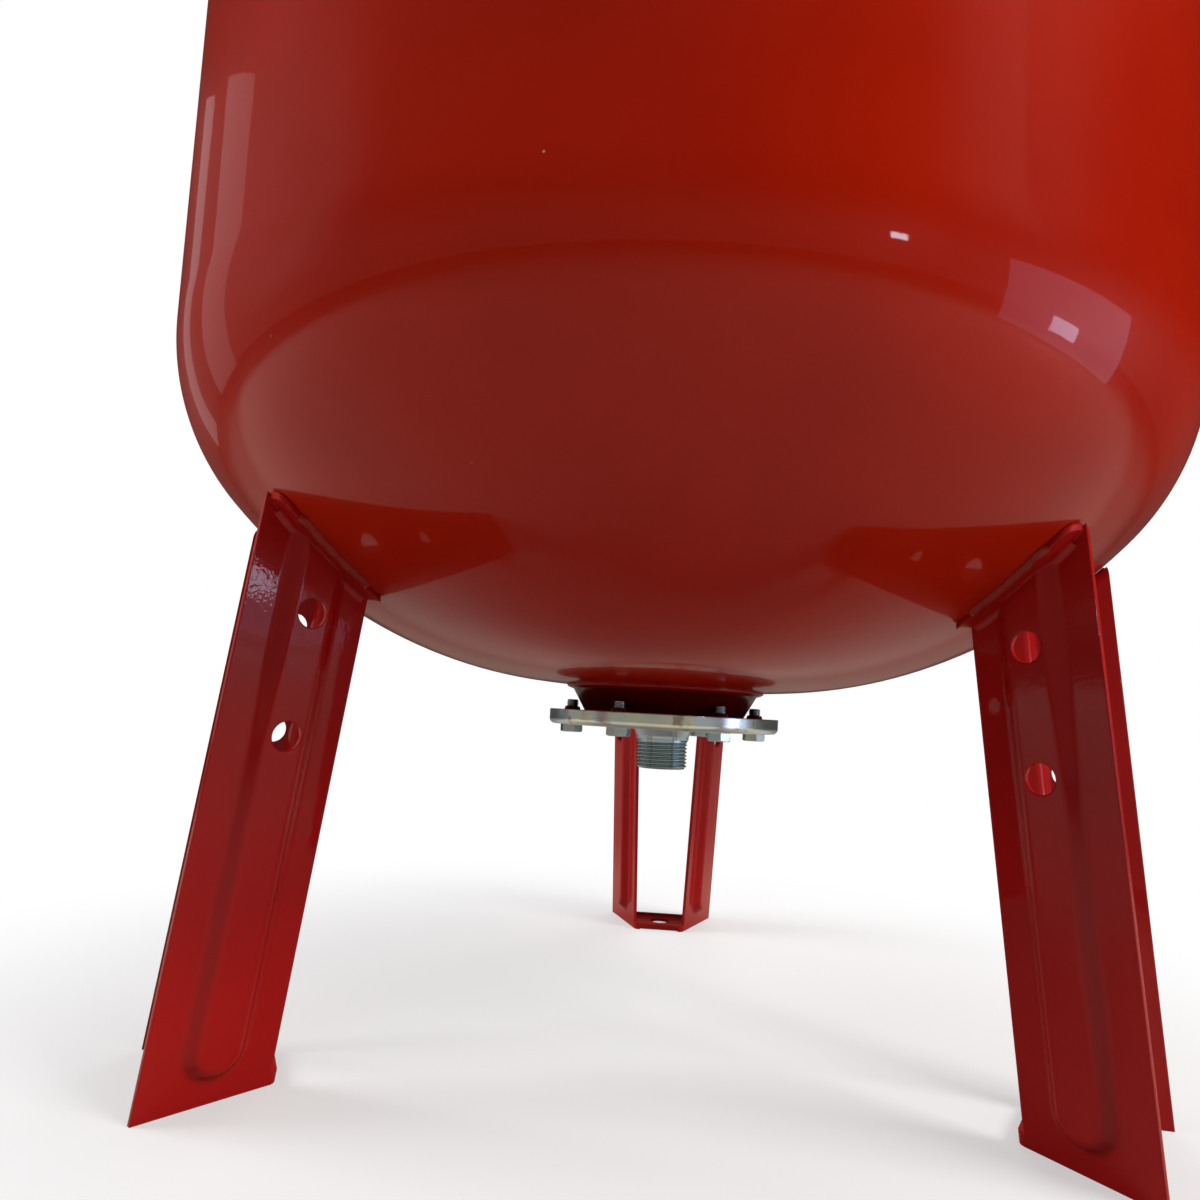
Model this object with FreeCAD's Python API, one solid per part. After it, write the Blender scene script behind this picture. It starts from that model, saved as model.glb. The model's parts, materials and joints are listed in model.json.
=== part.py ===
import FreeCAD, Part
import math
import os

# Vertical membrane expansion tank on three folded sheet legs, in millimetres.
# +Z is up and the floor is Z = 0. The origin lies on the tank's axis, and the back leg stands
# towards +Y. A leg and everything on it is first built reaching out along +X, then turned to
# its place about the axis.

# Tank shell: two deep-drawn halves, each a head with three tangent arcs and a straight side.
# The arcs' radii are given as ratios to the tank's diameter.
TANK_DIAMETER = 600.0
SHELL_WALL = 2.0
STRAIGHT_LENGTH = 480.0
KNUCKLE_RATIO = 0.19
KNUCKLE_TURN = 42.3
SHOULDER_RATIO = 0.47167
CROWN_RATIO = 1.73667
GROUND_CLEARANCE = 211.2

# Girth weld between the halves
GIRTH_WELD_GAP = 1.5
GIRTH_WELD_WIDTH = 9.0
GIRTH_WELD_CROWN = 1.2
GIRTH_WELD_ROOT = 0.6

# Neck collar: a pressed ring with a cone that opens up to the shell
NECK_TOP_RADIUS = 62.0
NECK_CONE_ANGLE = 29.5
NECK_SHEET = 2.5
NECK_DROP = 16.7
NECK_HOLE_LEDGE = 2.5
NECK_WELD_LEG = 2.6
NECK_WELD_SWELL = 0.4

# Counterflange: a drawn cup that takes the collar's ring inside its rim
FLANGE_EDGE_DISTANCE = 14.5
FLANGE_SHEET = 3.0
FLANGE_RIM_HEIGHT = 9.4
FLANGE_CORNER_RADIUS = 3.2
FLANGE_INNER_RADIUS = 1.0
COLLAR_CLEARANCE = 0.8

# Six bolts that hold the counterflange, set as close to the cone as their nuts allow
BOLT_COUNT = 6
NUT_CONE_CLEARANCE = 3.2
BOLT_TURN = 5.3
BOLT_DIAMETER = 8.0
BOLT_LENGTH = 16.0
BOLT_END_CHAMFER = 1.0
HEAD_ACROSS_FLATS = 13.0
HEAD_HEIGHT = 5.3
BOLT_HOLE_CLEARANCE = 0.5
THREAD_PLAY = 0.1
NUT_BASE_DIAMETER = 11.6
NUT_TOP_DIAMETER = 9.6
NUT_HEIGHT = 4.0

# Water connection: a turned nipple with a one-inch pipe thread
THREAD_DIAMETER = 33.25
THREAD_LENGTH = 18.9
THREAD_CHAMFER = 1.3
NIPPLE_BORE = 27.0
SHOULDER_DIAMETER = 34.6
SHOULDER_LENGTH = 2.3
NIPPLE_COLLAR_DIAMETER = 39.0
NIPPLE_COLLAR_LENGTH = 4.9
SPIGOT_DIAMETER = 34.0
SPIGOT_STAND = 2.0
SPIGOT_CLEARANCE = 0.1
NIPPLE_WELD_LEG = 2.0

# Rubber bladder, its lip held between the collar and the counterflange
BLADDER_WALL = 2.0
BLADDER_LIP_CLEARANCE = 0.5
BLADDER_NECK_CLEARANCE = 1.0
BLADDER_SHELL_GAP = 28.0

# Three legs: one folded sheet each, two flaring wings joined by a low web with a foot tab
LEG_COUNT = 3
LEG_SHEET = 2.5
LEG_INSET = 72.8
WINDOW_HALF_WIDTH = 22.6
LEG_LEAN = 6.48
WINDOW_SPREAD = 1.84
WING_FLARE = 22.9
WING_WIDTH = 63.6
FOLD_RADIUS = 5.0
WEB_HEIGHT = 6.1

# Foot tab, bent out from the web
FOOT_LENGTH = 45.0
FOOT_ROOT_WIDTH = 34.0
FOOT_NEAR_WIDTH = 41.0
FOOT_NEAR_STEP = 11.0
FOOT_END_WIDTH = 54.0
FOOT_BEND_RADIUS = 4.0
FOOT_LIP_HEIGHT = 5.5
ANCHOR_HOLE_DIAMETER = 17.0
ANCHOR_STEP = 24.3

# Pressed bead up the middle of each wing, with two holes in its flat
BEAD_BASE_WIDTH = 31.0
BEAD_FLAT_WIDTH = 20.0
BEAD_RISE = 6.0
BEAD_FOOT_HEIGHT = 11.0
BEAD_EDGE_RADIUS = 4.5
WING_HOLE_DIAMETER = 15.0
WING_HOLE_LOW = 176.4
WING_HOLE_HIGH = 237.9

# Lip along the top of each wing, bent out to lie on the shell, and its weld
LIP_WIDTH = 12.5
LIP_CORNER_RADIUS = 5.0
LIP_BEND_RADIUS = 3.0
LIP_END_STEP = 1.0
LIP_BEND_START = 4.0
LIP_BEND_OVERRUN = 8.0
LIP_BEND_BLEND = 0.02
LEG_SEAT_GAP = 0.2
LEG_WELD_RADIUS = 4.2
LEG_WELD_START = 8.0
LEG_WELD_END = 10.3

# Air valve on the crown of the upper half
VALVE_BOSS_DIAMETER = 46.0
VALVE_BOSS_HEIGHT = 5.0
VALVE_HUB_DIAMETER = 34.0
VALVE_HUB_HEIGHT = 8.0
VALVE_SPIGOT_DEPTH = 4.0
VALVE_HOLE_CLEARANCE = 0.2
VALVE_WELD_LEG = 3.0
VALVE_THREAD_DIAMETER = 12.0
VALVE_THREAD_LENGTH = 15.0
VALVE_THREAD_PLAY = 0.1
VALVE_HEX_ACROSS_FLATS = 14.0
VALVE_HEX_HEIGHT = 4.5
VALVE_SEAL_DIAMETER = 17.0
VALVE_SEAL_THICKNESS = 1.2
VALVE_NECK_DIAMETER = 7.7
VALVE_NECK_HEIGHT = 12.0
VALVE_BORE = 5.2
VALVE_CORE_DIAMETER = 5.0
VALVE_CORE_LENGTH = 18.0
VALVE_CORE_DEPTH = 1.0
DUST_CAP_WALL = 1.2
DUST_CAP_PLAY = 0.1
DUST_CAP_LIFT = 1.0
GUARD_CAP_WALL = 2.2
GUARD_CAP_HEADROOM = 2.0
GUARD_CAP_PLAY = 0.15

# What follows from the sizes above
TANK_RADIUS = TANK_DIAMETER / 2
KNUCKLE_RADIUS = TANK_DIAMETER * KNUCKLE_RATIO
SHOULDER_RADIUS = TANK_DIAMETER * SHOULDER_RATIO
CROWN_RADIUS = TANK_DIAMETER * CROWN_RATIO
LEG_REACH = TANK_RADIUS - LEG_INSET
ANCHOR_RADIUS = LEG_REACH + ANCHOR_STEP
VERTICAL = FreeCAD.Vector(0, 0, 1)
AXIS_POINT = FreeCAD.Vector(0, 0, 0)
COLLAR_TOP = GROUND_CLEARANCE - NECK_DROP
COLLAR_BOTTOM = COLLAR_TOP - NECK_SHEET
FLANGE_FLOOR = COLLAR_BOTTOM - BLADDER_WALL
FLANGE_BOTTOM = FLANGE_FLOOR - FLANGE_SHEET
FLANGE_TOP = FLANGE_BOTTOM + FLANGE_RIM_HEIGHT


def point(radius, height):
    """A point of a half profile: distance from the axis, height above the floor."""
    return FreeCAD.Vector(radius, 0, height)


def polyline(points):
    """The straight edges that join the points in order."""
    return [Part.makeLine(a, b) for a, b in zip(points[:-1], points[1:])]


def revolved(edges):
    """The solid that a closed half profile sweeps about the tank's axis."""
    face = Part.Face(Part.Wire(edges))
    return face.revolve(AXIS_POINT, VERTICAL, 360)


def turned(points):
    """A turned solid from the corners of its half profile, given as (radius, height)."""
    corners = [point(radius, height) for radius, height in points]
    return revolved(polyline(corners + corners[:1]))


def hexagon(across_flats, height, base):
    """A hexagonal prism on the axis, standing on the height called base."""
    corner = across_flats / math.sqrt(3)
    ring = []
    for index in range(7):
        angle = math.radians(60 * index)
        ring.append(FreeCAD.Vector(corner * math.cos(angle), corner * math.sin(angle), base))
    return Part.Face(Part.makePolygon(ring)).extrude(VERTICAL * height)


def around_bolt_circle(solid):
    """Copies of a solid built on the axis, one at each bolt."""
    copies = []
    for index in range(BOLT_COUNT):
        angle = math.radians(BOLT_TURN + 360 / BOLT_COUNT * index)
        place = FreeCAD.Vector(math.cos(angle), math.sin(angle), 0) * bolt_circle_radius()
        copies.append(solid.translated(place))
    return copies


# Heads

def head_arcs(outset=0.0):
    """The head's three arcs as (centre radius, centre rise, arc radius, first angle, last angle).

    Angles run from level, at the straight side, to the crown. The rise of a centre is measured
    from the tangent line into the tank. A positive outset moves the curve outwards.
    """
    turn = math.radians(KNUCKLE_TURN)
    knuckle_centre = TANK_RADIUS - KNUCKLE_RADIUS
    shoulder_step = SHOULDER_RADIUS - KNUCKLE_RADIUS
    shoulder_centre = knuckle_centre - shoulder_step * math.cos(turn)
    shoulder_rise = shoulder_step * math.sin(turn)
    crown_step = CROWN_RADIUS - SHOULDER_RADIUS
    crown_angle = math.acos(shoulder_centre / crown_step)
    crown_rise = shoulder_rise + crown_step * math.sin(crown_angle)
    return [
        (knuckle_centre, 0.0, KNUCKLE_RADIUS + outset, 0.0, turn),
        (shoulder_centre, shoulder_rise, SHOULDER_RADIUS + outset, turn, crown_angle),
        (0.0, crown_rise, CROWN_RADIUS + outset, crown_angle, math.pi / 2),
    ]


def head_depth():
    """Depth of the head from its tangent line to its lowest outer point."""
    crown = head_arcs()[2]
    return crown[2] - crown[1]


LOWER_TANGENT = GROUND_CLEARANCE + head_depth()
UPPER_TANGENT = LOWER_TANGENT + STRAIGHT_LENGTH
GIRTH_HEIGHT = (LOWER_TANGENT + UPPER_TANGENT) / 2
SHELL_TOP = UPPER_TANGENT + head_depth()


def head_edges(outset, end_radius, upper=False):
    """Arc edges of a head's profile, from the straight side in to end_radius."""
    tangent = UPPER_TANGENT if upper else LOWER_TANGENT
    side = 1 if upper else -1
    edges = []
    for centre, rise, radius, first, last in head_arcs(outset):
        if centre == 0.0:
            last = math.acos(end_radius / radius)
        corners = []
        for angle in (first, (first + last) / 2, last):
            height = tangent + side * (radius * math.sin(angle) - rise)
            corners.append(point(centre + radius * math.cos(angle), height))
        edges.append(Part.Arc(*corners).toShape())
    return edges


def lower_head_height(radius, outset=0.0):
    """Height above the floor of the lower head's outer face at a radius inside the knuckle."""
    for centre, rise, arc_radius, first, last in head_arcs(outset):
        inner_end = centre + arc_radius * math.cos(last)
        if radius >= inner_end - 1e-9:
            across = radius - centre
            return LOWER_TANGENT + rise - math.sqrt(arc_radius ** 2 - across ** 2)
    return GROUND_CLEARANCE - outset


def along_shell(first, last, upper=False):
    """Edge that follows the crown's outer face between two radii."""
    ends = []
    for radius in (first, (first + last) / 2, last):
        height = lower_head_height(radius)
        if upper:
            height = SHELL_TOP + GROUND_CLEARANCE - height
        ends.append(point(radius, height))
    return Part.Arc(*ends).toShape()


def head_envelope(outset):
    """Everything above the lower head's outer face, which is moved outwards by outset."""
    top = LOWER_TANGENT + KNUCKLE_RADIUS
    edges = head_edges(outset, 0.0)
    bottom = edges[-1].Vertexes[-1].Point
    rim = point(TANK_RADIUS + outset, LOWER_TANGENT)
    edges += polyline([bottom, point(0, top), point(rim.x, top), rim])
    return revolved(edges).rotated(AXIS_POINT, VERTICAL, 180)


def half_shell(hole_radius, split, upper):
    """One drawn half of the tank, open at its crown hole and at the girth."""
    tangent = UPPER_TANGENT if upper else LOWER_TANGENT
    inner_radius = TANK_RADIUS - SHELL_WALL
    outer = head_edges(0.0, hole_radius, upper)
    inner = head_edges(-SHELL_WALL, hole_radius, upper)
    crown = [edge.Vertexes[-1].Point for edge in (outer[-1], inner[-1])]
    side = [point(inner_radius, tangent), point(inner_radius, split)]
    side += [point(TANK_RADIUS, split), point(TANK_RADIUS, tangent)]
    edges = outer + polyline(crown) + inner[::-1] + polyline(side)
    return revolved(Part.__sortEdges__(edges))


def lower_shell():
    return half_shell(neck_hole_radius(), GIRTH_HEIGHT - GIRTH_WELD_GAP / 2, False)


def upper_shell():
    return half_shell(valve_hole_radius(), GIRTH_HEIGHT + GIRTH_WELD_GAP / 2, True)


def girth_weld():
    """The weld's cap outside, its root through the gap and the low bead inside."""
    half = GIRTH_WELD_WIDTH / 2
    inner_radius = TANK_RADIUS - SHELL_WALL
    low = GIRTH_HEIGHT - GIRTH_WELD_GAP / 2
    high = GIRTH_HEIGHT + GIRTH_WELD_GAP / 2
    cap = Part.Arc(point(TANK_RADIUS, GIRTH_HEIGHT - half),
                   point(TANK_RADIUS + GIRTH_WELD_CROWN, GIRTH_HEIGHT),
                   point(TANK_RADIUS, GIRTH_HEIGHT + half)).toShape()
    root = Part.Arc(point(inner_radius, high),
                    point(inner_radius - GIRTH_WELD_ROOT, GIRTH_HEIGHT),
                    point(inner_radius, low)).toShape()
    above = polyline([point(TANK_RADIUS, GIRTH_HEIGHT + half), point(TANK_RADIUS, high),
                      point(inner_radius, high)])
    below = polyline([point(inner_radius, low), point(TANK_RADIUS, low),
                      point(TANK_RADIUS, GIRTH_HEIGHT - half)])
    return revolved([cap] + above + [root] + below)


# Neck, counterflange and water connection

def cone_radius(height):
    """Outer radius of the neck's cone at a height above the floor."""
    neck_top = lower_head_height(NECK_TOP_RADIUS)
    return NECK_TOP_RADIUS - (neck_top - height) * math.tan(math.radians(NECK_CONE_ANGLE))


def cone_wall():
    """Thickness of the neck's cone measured level."""
    return NECK_SHEET / math.cos(math.radians(NECK_CONE_ANGLE))


def neck_hole_radius():
    return NECK_TOP_RADIUS - cone_wall() - NECK_HOLE_LEDGE


def bolt_circle_radius():
    """Radius on which the bolts stand, just clear of the cone."""
    return cone_radius(COLLAR_TOP) + NUT_BASE_DIAMETER / 2 + NUT_CONE_CLEARANCE


def flange_radius():
    return bolt_circle_radius() + FLANGE_EDGE_DISTANCE


def collar_ring_radius():
    return flange_radius() - FLANGE_SHEET - COLLAR_CLEARANCE


def neck_collar():
    """Flat bolting ring and the cone that rises from it to the shell."""
    ring = collar_ring_radius()
    top_inner = NECK_TOP_RADIUS - cone_wall()
    sides = polyline([
        point(top_inner, lower_head_height(top_inner)),
        point(cone_radius(COLLAR_BOTTOM) - cone_wall(), COLLAR_BOTTOM),
        point(ring, COLLAR_BOTTOM),
        point(ring, COLLAR_TOP),
        point(cone_radius(COLLAR_TOP), COLLAR_TOP),
        point(NECK_TOP_RADIUS, lower_head_height(NECK_TOP_RADIUS)),
    ])
    body = revolved(sides + [along_shell(NECK_TOP_RADIUS, top_inner)])
    bolt_hole = Part.makeCylinder(BOLT_DIAMETER / 2 + BOLT_HOLE_CLEARANCE, 3 * NECK_SHEET,
                                  point(0, COLLAR_BOTTOM - NECK_SHEET))
    return body.cut(around_bolt_circle(bolt_hole))


def neck_weld():
    """Fillet weld in the corner between the cone and the shell."""
    start = lower_head_height(NECK_TOP_RADIUS)
    low = start - NECK_WELD_LEG
    out = NECK_TOP_RADIUS + NECK_WELD_LEG
    end = lower_head_height(out)
    swell = point((cone_radius(low) + out) / 2 + NECK_WELD_SWELL,
                  (low + end) / 2 - NECK_WELD_SWELL)
    face = Part.Arc(point(cone_radius(low), low), swell, point(out, end)).toShape()
    root = Part.makeLine(point(NECK_TOP_RADIUS, start), point(cone_radius(low), low))
    return revolved([face, along_shell(out, NECK_TOP_RADIUS), root])


def weld_nuts():
    base = NUT_BASE_DIAMETER / 2
    top = NUT_TOP_DIAMETER / 2
    bore = BOLT_DIAMETER / 2
    nut = turned([(bore, COLLAR_TOP), (base, COLLAR_TOP), (top, COLLAR_TOP + NUT_HEIGHT),
                  (bore, COLLAR_TOP + NUT_HEIGHT)])
    return Part.makeCompound(around_bolt_circle(nut))


def counterflange():
    """Drawn cup with an upright rim, a rounded corner below, the bolt holes and the centre hole."""
    outer = flange_radius()
    inner = outer - FLANGE_SHEET
    cup = Part.makeCylinder(outer, FLANGE_RIM_HEIGHT, point(0, FLANGE_BOTTOM))
    cup = cup.makeFillet(FLANGE_CORNER_RADIUS, edges_at_height(cup, FLANGE_BOTTOM))
    hollow = Part.makeCylinder(inner, FLANGE_RIM_HEIGHT, point(0, FLANGE_FLOOR))
    hollow = hollow.makeFillet(FLANGE_INNER_RADIUS, edges_at_height(hollow, FLANGE_FLOOR))
    centre_hole = Part.makeCylinder(SPIGOT_DIAMETER / 2 + SPIGOT_CLEARANCE, 3 * FLANGE_SHEET,
                                    point(0, FLANGE_BOTTOM - FLANGE_SHEET))
    bolt_hole = Part.makeCylinder(BOLT_DIAMETER / 2 + BOLT_HOLE_CLEARANCE, 3 * FLANGE_SHEET,
                                  point(0, FLANGE_BOTTOM - FLANGE_SHEET))
    return cup.cut(hollow).cut(centre_hole).cut(around_bolt_circle(bolt_hole))


def edges_at_height(shape, height):
    """The circular edges of a shape that lie level at a height."""
    found = []
    for edge in shape.Edges:
        box = edge.BoundBox
        if abs(box.ZMin - height) < 1e-6 and abs(box.ZMax - height) < 1e-6:
            found.append(edge)
    return found


def flange_bolts():
    """Hexagon bolts pushed up through the counterflange, with a chamfered thread end."""
    radius = BOLT_DIAMETER / 2 - THREAD_PLAY
    end = FLANGE_BOTTOM + BOLT_LENGTH
    shank = turned([(0, FLANGE_BOTTOM), (radius, FLANGE_BOTTOM),
                    (radius, end - BOLT_END_CHAMFER), (radius - BOLT_END_CHAMFER, end), (0, end)])
    base = FLANGE_BOTTOM - HEAD_HEIGHT
    prism = hexagon(HEAD_ACROSS_FLATS, HEAD_HEIGHT, base)
    corner = HEAD_ACROSS_FLATS / math.sqrt(3)
    flat = HEAD_ACROSS_FLATS / 2
    crown = turned([(0, base), (flat, base), (corner, base + (corner - flat) / 2),
                    (corner, FLANGE_BOTTOM), (0, FLANGE_BOTTOM)])
    bolt = shank.fuse(prism.common(crown))
    return Part.makeCompound(around_bolt_circle(bolt.removeSplitter()))


def nipple():
    """Turned connection piece: spigot, conical collar, shoulder and pipe thread."""
    bore = NIPPLE_BORE / 2
    thread = THREAD_DIAMETER / 2
    cone_end = FLANGE_BOTTOM - NIPPLE_COLLAR_LENGTH
    thread_top = cone_end - SHOULDER_LENGTH
    end = thread_top - THREAD_LENGTH
    return turned([
        (bore, end),
        (thread - THREAD_CHAMFER, end),
        (thread, end + THREAD_CHAMFER),
        (thread, thread_top),
        (SHOULDER_DIAMETER / 2, thread_top),
        (SHOULDER_DIAMETER / 2, cone_end),
        (NIPPLE_COLLAR_DIAMETER / 2, FLANGE_BOTTOM),
        (SPIGOT_DIAMETER / 2, FLANGE_BOTTOM),
        (SPIGOT_DIAMETER / 2, FLANGE_FLOOR + SPIGOT_STAND),
        (bore, FLANGE_FLOOR + SPIGOT_STAND),
    ])


def nipple_weld():
    """Fillet weld round the spigot, inside the cup."""
    spigot = SPIGOT_DIAMETER / 2
    outer = spigot + SPIGOT_CLEARANCE
    return turned([(spigot, FLANGE_FLOOR), (outer + NIPPLE_WELD_LEG, FLANGE_FLOOR),
                   (spigot, FLANGE_FLOOR + NIPPLE_WELD_LEG)])


def bladder():
    """Thin rubber bag that follows the shell: clamped lip, neck and a body open below."""
    lip_top = COLLAR_BOTTOM
    neck = cone_radius(COLLAR_BOTTOM) - cone_wall() - BLADDER_NECK_CLEARANCE
    gap = SHELL_WALL + BLADDER_SHELL_GAP
    outer = revolved(bag_profile(neck, gap, FLANGE_FLOOR))
    inner = revolved(bag_profile(neck - BLADDER_WALL, gap + BLADDER_WALL, FLANGE_FLOOR))
    bolt_hole = BOLT_DIAMETER / 2 + BOLT_HOLE_CLEARANCE
    edge = bolt_circle_radius() - bolt_hole - BLADDER_LIP_CLEARANCE
    lip = turned([(neck - BLADDER_WALL, FLANGE_FLOOR), (edge, FLANGE_FLOOR),
                  (edge, lip_top), (neck - BLADDER_WALL, lip_top)])
    return outer.cut(inner).fuse(lip).removeSplitter()


def bag_profile(neck, gap, mouth):
    """Closed half profile of a bag inside the shell, its neck reaching down to the mouth."""
    lower = head_edges(-gap, neck)
    upper = head_edges(-gap, 0.0, True)
    neck_end = lower[-1].Vertexes[-1].Point
    roof = upper[-1].Vertexes[-1].Point
    side = polyline([point(TANK_RADIUS - gap, LOWER_TANGENT),
                     point(TANK_RADIUS - gap, UPPER_TANGENT)])
    close = polyline([roof, point(0, mouth), point(neck, mouth), neck_end])
    return Part.__sortEdges__(lower + side + upper + close)


# Legs, built reaching out along +X

def wing_run():
    """Level direction in which a wing runs outwards."""
    flare = math.radians(WING_FLARE)
    return FreeCAD.Vector(math.cos(flare), math.sin(flare), 0)


def wing_rise():
    """Direction of a wing's two long edges, per millimetre of height."""
    lean = math.tan(math.radians(LEG_LEAN))
    spread = math.tan(math.radians(WINDOW_SPREAD))
    return FreeCAD.Vector(-lean, spread, 1)


def wing_corner(height):
    """Where the inner edge of the wing's outer face passes a height."""
    return FreeCAD.Vector(LEG_REACH, WINDOW_HALF_WIDTH, 0) + wing_rise() * height


def wing_outward():
    """Unit normal of the wing's outer face."""
    return wing_rise().cross(wing_run()).normalize()


def wing_up():
    """Unit direction up the wing, square to the floor line."""
    return wing_run().cross(wing_outward()).normalize()


def wing_placement():
    """Frame of the wing: X out along the floor, Y up the sheet, Z into the leg."""
    run, up, inward = wing_run(), wing_up(), wing_outward() * -1
    origin = wing_corner(0)
    return FreeCAD.Placement(FreeCAD.Matrix(run.x, up.x, inward.x, origin.x,
                                            run.y, up.y, inward.y, origin.y,
                                            run.z, up.z, inward.z, origin.z,
                                            0, 0, 0, 1))


def on_wing(shape):
    """A shape built in the wing's frame, moved to its place on the leg."""
    moved = shape.copy()
    moved.Placement = wing_placement().multiply(shape.Placement)
    return moved


def wing_slope():
    """How far the wing's long edges move inwards for each millimetre up the sheet."""
    rise = wing_rise()
    return -rise.dot(wing_run()) / rise.dot(wing_up())


def level_sheet():
    """Thickness of the wing's sheet where a level plane cuts it."""
    outward = wing_outward()
    return LEG_SHEET / math.hypot(outward.x, outward.y)


def folded_half(height):
    """One wing, its fold and half of the web, cut level at the floor."""
    run = wing_run()
    square = FreeCAD.Vector(-run.y, run.x, 0)
    sheet = level_sheet()
    corner = wing_corner(0)
    centre = corner - square * FOLD_RADIUS
    half_turn = math.radians(90 + (WING_FLARE + 90) / 2)
    middle = FreeCAD.Vector(math.cos(half_turn), math.sin(half_turn), 0)
    level = FreeCAD.Vector(-1, 0, 0)
    over_middle = -FOOT_ROOT_WIDTH / 4

    def fold(radius):
        ends = [centre + square * radius, centre + middle * radius, centre + level * radius]
        return Part.Arc(*ends).toShape(), ends[0], ends[2]

    outer_arc, outer_wing, outer_web = fold(FOLD_RADIUS)
    inner_arc, inner_wing, inner_web = fold(FOLD_RADIUS - sheet)
    outer_tip = outer_wing + run * WING_WIDTH
    inner_tip = inner_wing + run * WING_WIDTH
    outer_middle = FreeCAD.Vector(outer_web.x, over_middle, 0)
    inner_middle = FreeCAD.Vector(inner_web.x, over_middle, 0)
    edges = [outer_arc, inner_arc]
    edges += polyline([outer_web, outer_middle, inner_middle, inner_web])
    edges += polyline([inner_wing, inner_tip, outer_tip, outer_wing])
    section = Part.Face(Part.Wire(Part.__sortEdges__(edges)))
    return section.extrude(wing_rise() * height)


def mirrored(shape):
    """The same shape on the other side of the leg's middle plane."""
    return shape.mirror(AXIS_POINT, FreeCAD.Vector(0, 1, 0))


def window_tool(height):
    """What is cut from the web between the wings, from the low strip up."""
    run = wing_run()
    square = FreeCAD.Vector(-run.y, run.x, 0)
    rings = []
    for level in (WEB_HEIGHT, height):
        corner = wing_corner(level)
        outside = corner + square * WINDOW_HALF_WIDTH
        inside = corner - square * (FOLD_RADIUS + LEG_SHEET)
        ring = [outside, inside, FreeCAD.Vector(inside.x, -inside.y, level),
                FreeCAD.Vector(outside.x, -outside.y, level), outside]
        rings.append(Part.makePolygon(ring))
    return Part.makeLoft(rings, True, True)


def bead_middle(up):
    """Middle of the wing at a distance up the sheet, measured along the floor line."""
    return WING_WIDTH / 2 - wing_slope() * up


def bead_half_section(inset):
    """Edges of half the bead's cross-section, out from its middle, at a depth in the sheet.

    The inset is 0 for the outer face and the sheet's thickness for the inner one. Points are
    given as (distance from the middle, 0, depth into the leg).
    """
    run = (BEAD_BASE_WIDTH - BEAD_FLAT_WIDTH) / 2
    slope = math.atan2(BEAD_RISE, run)
    shift = inset * math.tan(slope / 2)
    flat_radius = BEAD_EDGE_RADIUS - inset
    base_radius = BEAD_EDGE_RADIUS + inset
    flat = point(BEAD_FLAT_WIDTH / 2 - shift, inset - BEAD_RISE)
    base = point(BEAD_BASE_WIDTH / 2 - shift, inset)
    down = point(math.cos(slope), math.sin(slope))
    flat_reach = flat_radius * math.tan(slope / 2)
    base_reach = base_radius * math.tan(slope / 2)
    flat_start = flat - point(flat_reach, 0)
    flat_end = flat + down * flat_reach
    base_start = base - down * base_reach
    base_end = base + point(base_reach, 0)
    flat_centre = flat_start + point(0, flat_radius)
    base_centre = base_end - point(0, base_radius)
    half_turn = slope / 2
    flat_middle = flat_centre + point(math.sin(half_turn), -math.cos(half_turn)) * flat_radius
    base_middle = base_centre - point(math.sin(half_turn), -math.cos(half_turn)) * base_radius
    return [
        Part.makeLine(point(0, flat.z), flat_start),
        Part.Arc(flat_start, flat_middle, flat_end).toShape(),
        Part.makeLine(flat_end, base_start),
        Part.Arc(base_start, base_middle, base_end).toShape(),
    ]


def bead_block(inset, floor_depth, length):
    """The bead's body down to floor_depth: long sides and a round lower end, placed on the wing."""
    half = bead_half_section(inset)
    end = half[-1].Vertexes[-1].Point
    if abs(end.z - inset) > 1e-6:
        end = half[-1].Vertexes[0].Point
    closing = polyline([end, point(end.x, floor_depth), point(0, floor_depth),
                        half[0].Vertexes[0].Point])
    face = Part.Face(Part.Wire(half + closing))
    straight = face.extrude(FreeCAD.Vector(0, length, 0))
    straight = straight.fuse(straight.mirror(AXIS_POINT, FreeCAD.Vector(1, 0, 0)))
    rounded = face.revolve(AXIS_POINT, VERTICAL, -180)
    block = straight.fuse(rounded).removeSplitter()
    up = BEAD_FOOT_HEIGHT + BEAD_BASE_WIDTH / 2
    turn = math.degrees(math.atan(wing_slope()))
    block.rotate(AXIS_POINT, VERTICAL, turn)
    block.translate(FreeCAD.Vector(bead_middle(up), up, 0))
    return on_wing(block)


def wing_holes():
    """Tools for the two holes through the bead's flat."""
    tools = []
    for up in (WING_HOLE_LOW, WING_HOLE_HIGH):
        start = FreeCAD.Vector(bead_middle(up), up, -2 * BEAD_RISE)
        hole = Part.makeCylinder(WING_HOLE_DIAMETER / 2, 4 * BEAD_RISE, start)
        tools.append(on_wing(hole))
    return tools


def wing_top_point(across):
    """Point where the wing's outer face meets the seat on the shell, from its inner edge."""
    start = wing_corner(0) + wing_run() * across
    rise = wing_rise()
    low, high = 0.0, LOWER_TANGENT
    for _ in range(60):
        middle = (low + high) / 2
        place = start + rise * middle
        radius = math.hypot(place.x, place.y)
        if place.z < lower_head_height(radius, LEG_SEAT_GAP):
            low = middle
        else:
            high = middle
    return start + rise * low


def lip_frame():
    """Level start, direction and outward normal of the line where a lip is bent."""
    inner = wing_top_point(0.0)
    outer = wing_top_point(WING_WIDTH)
    along = FreeCAD.Vector(outer.x - inner.x, outer.y - inner.y, 0)
    length = along.Length
    along.normalize()
    return FreeCAD.Vector(inner.x, inner.y, 0), along, FreeCAD.Vector(-along.y, along.x, 0), length


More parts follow.
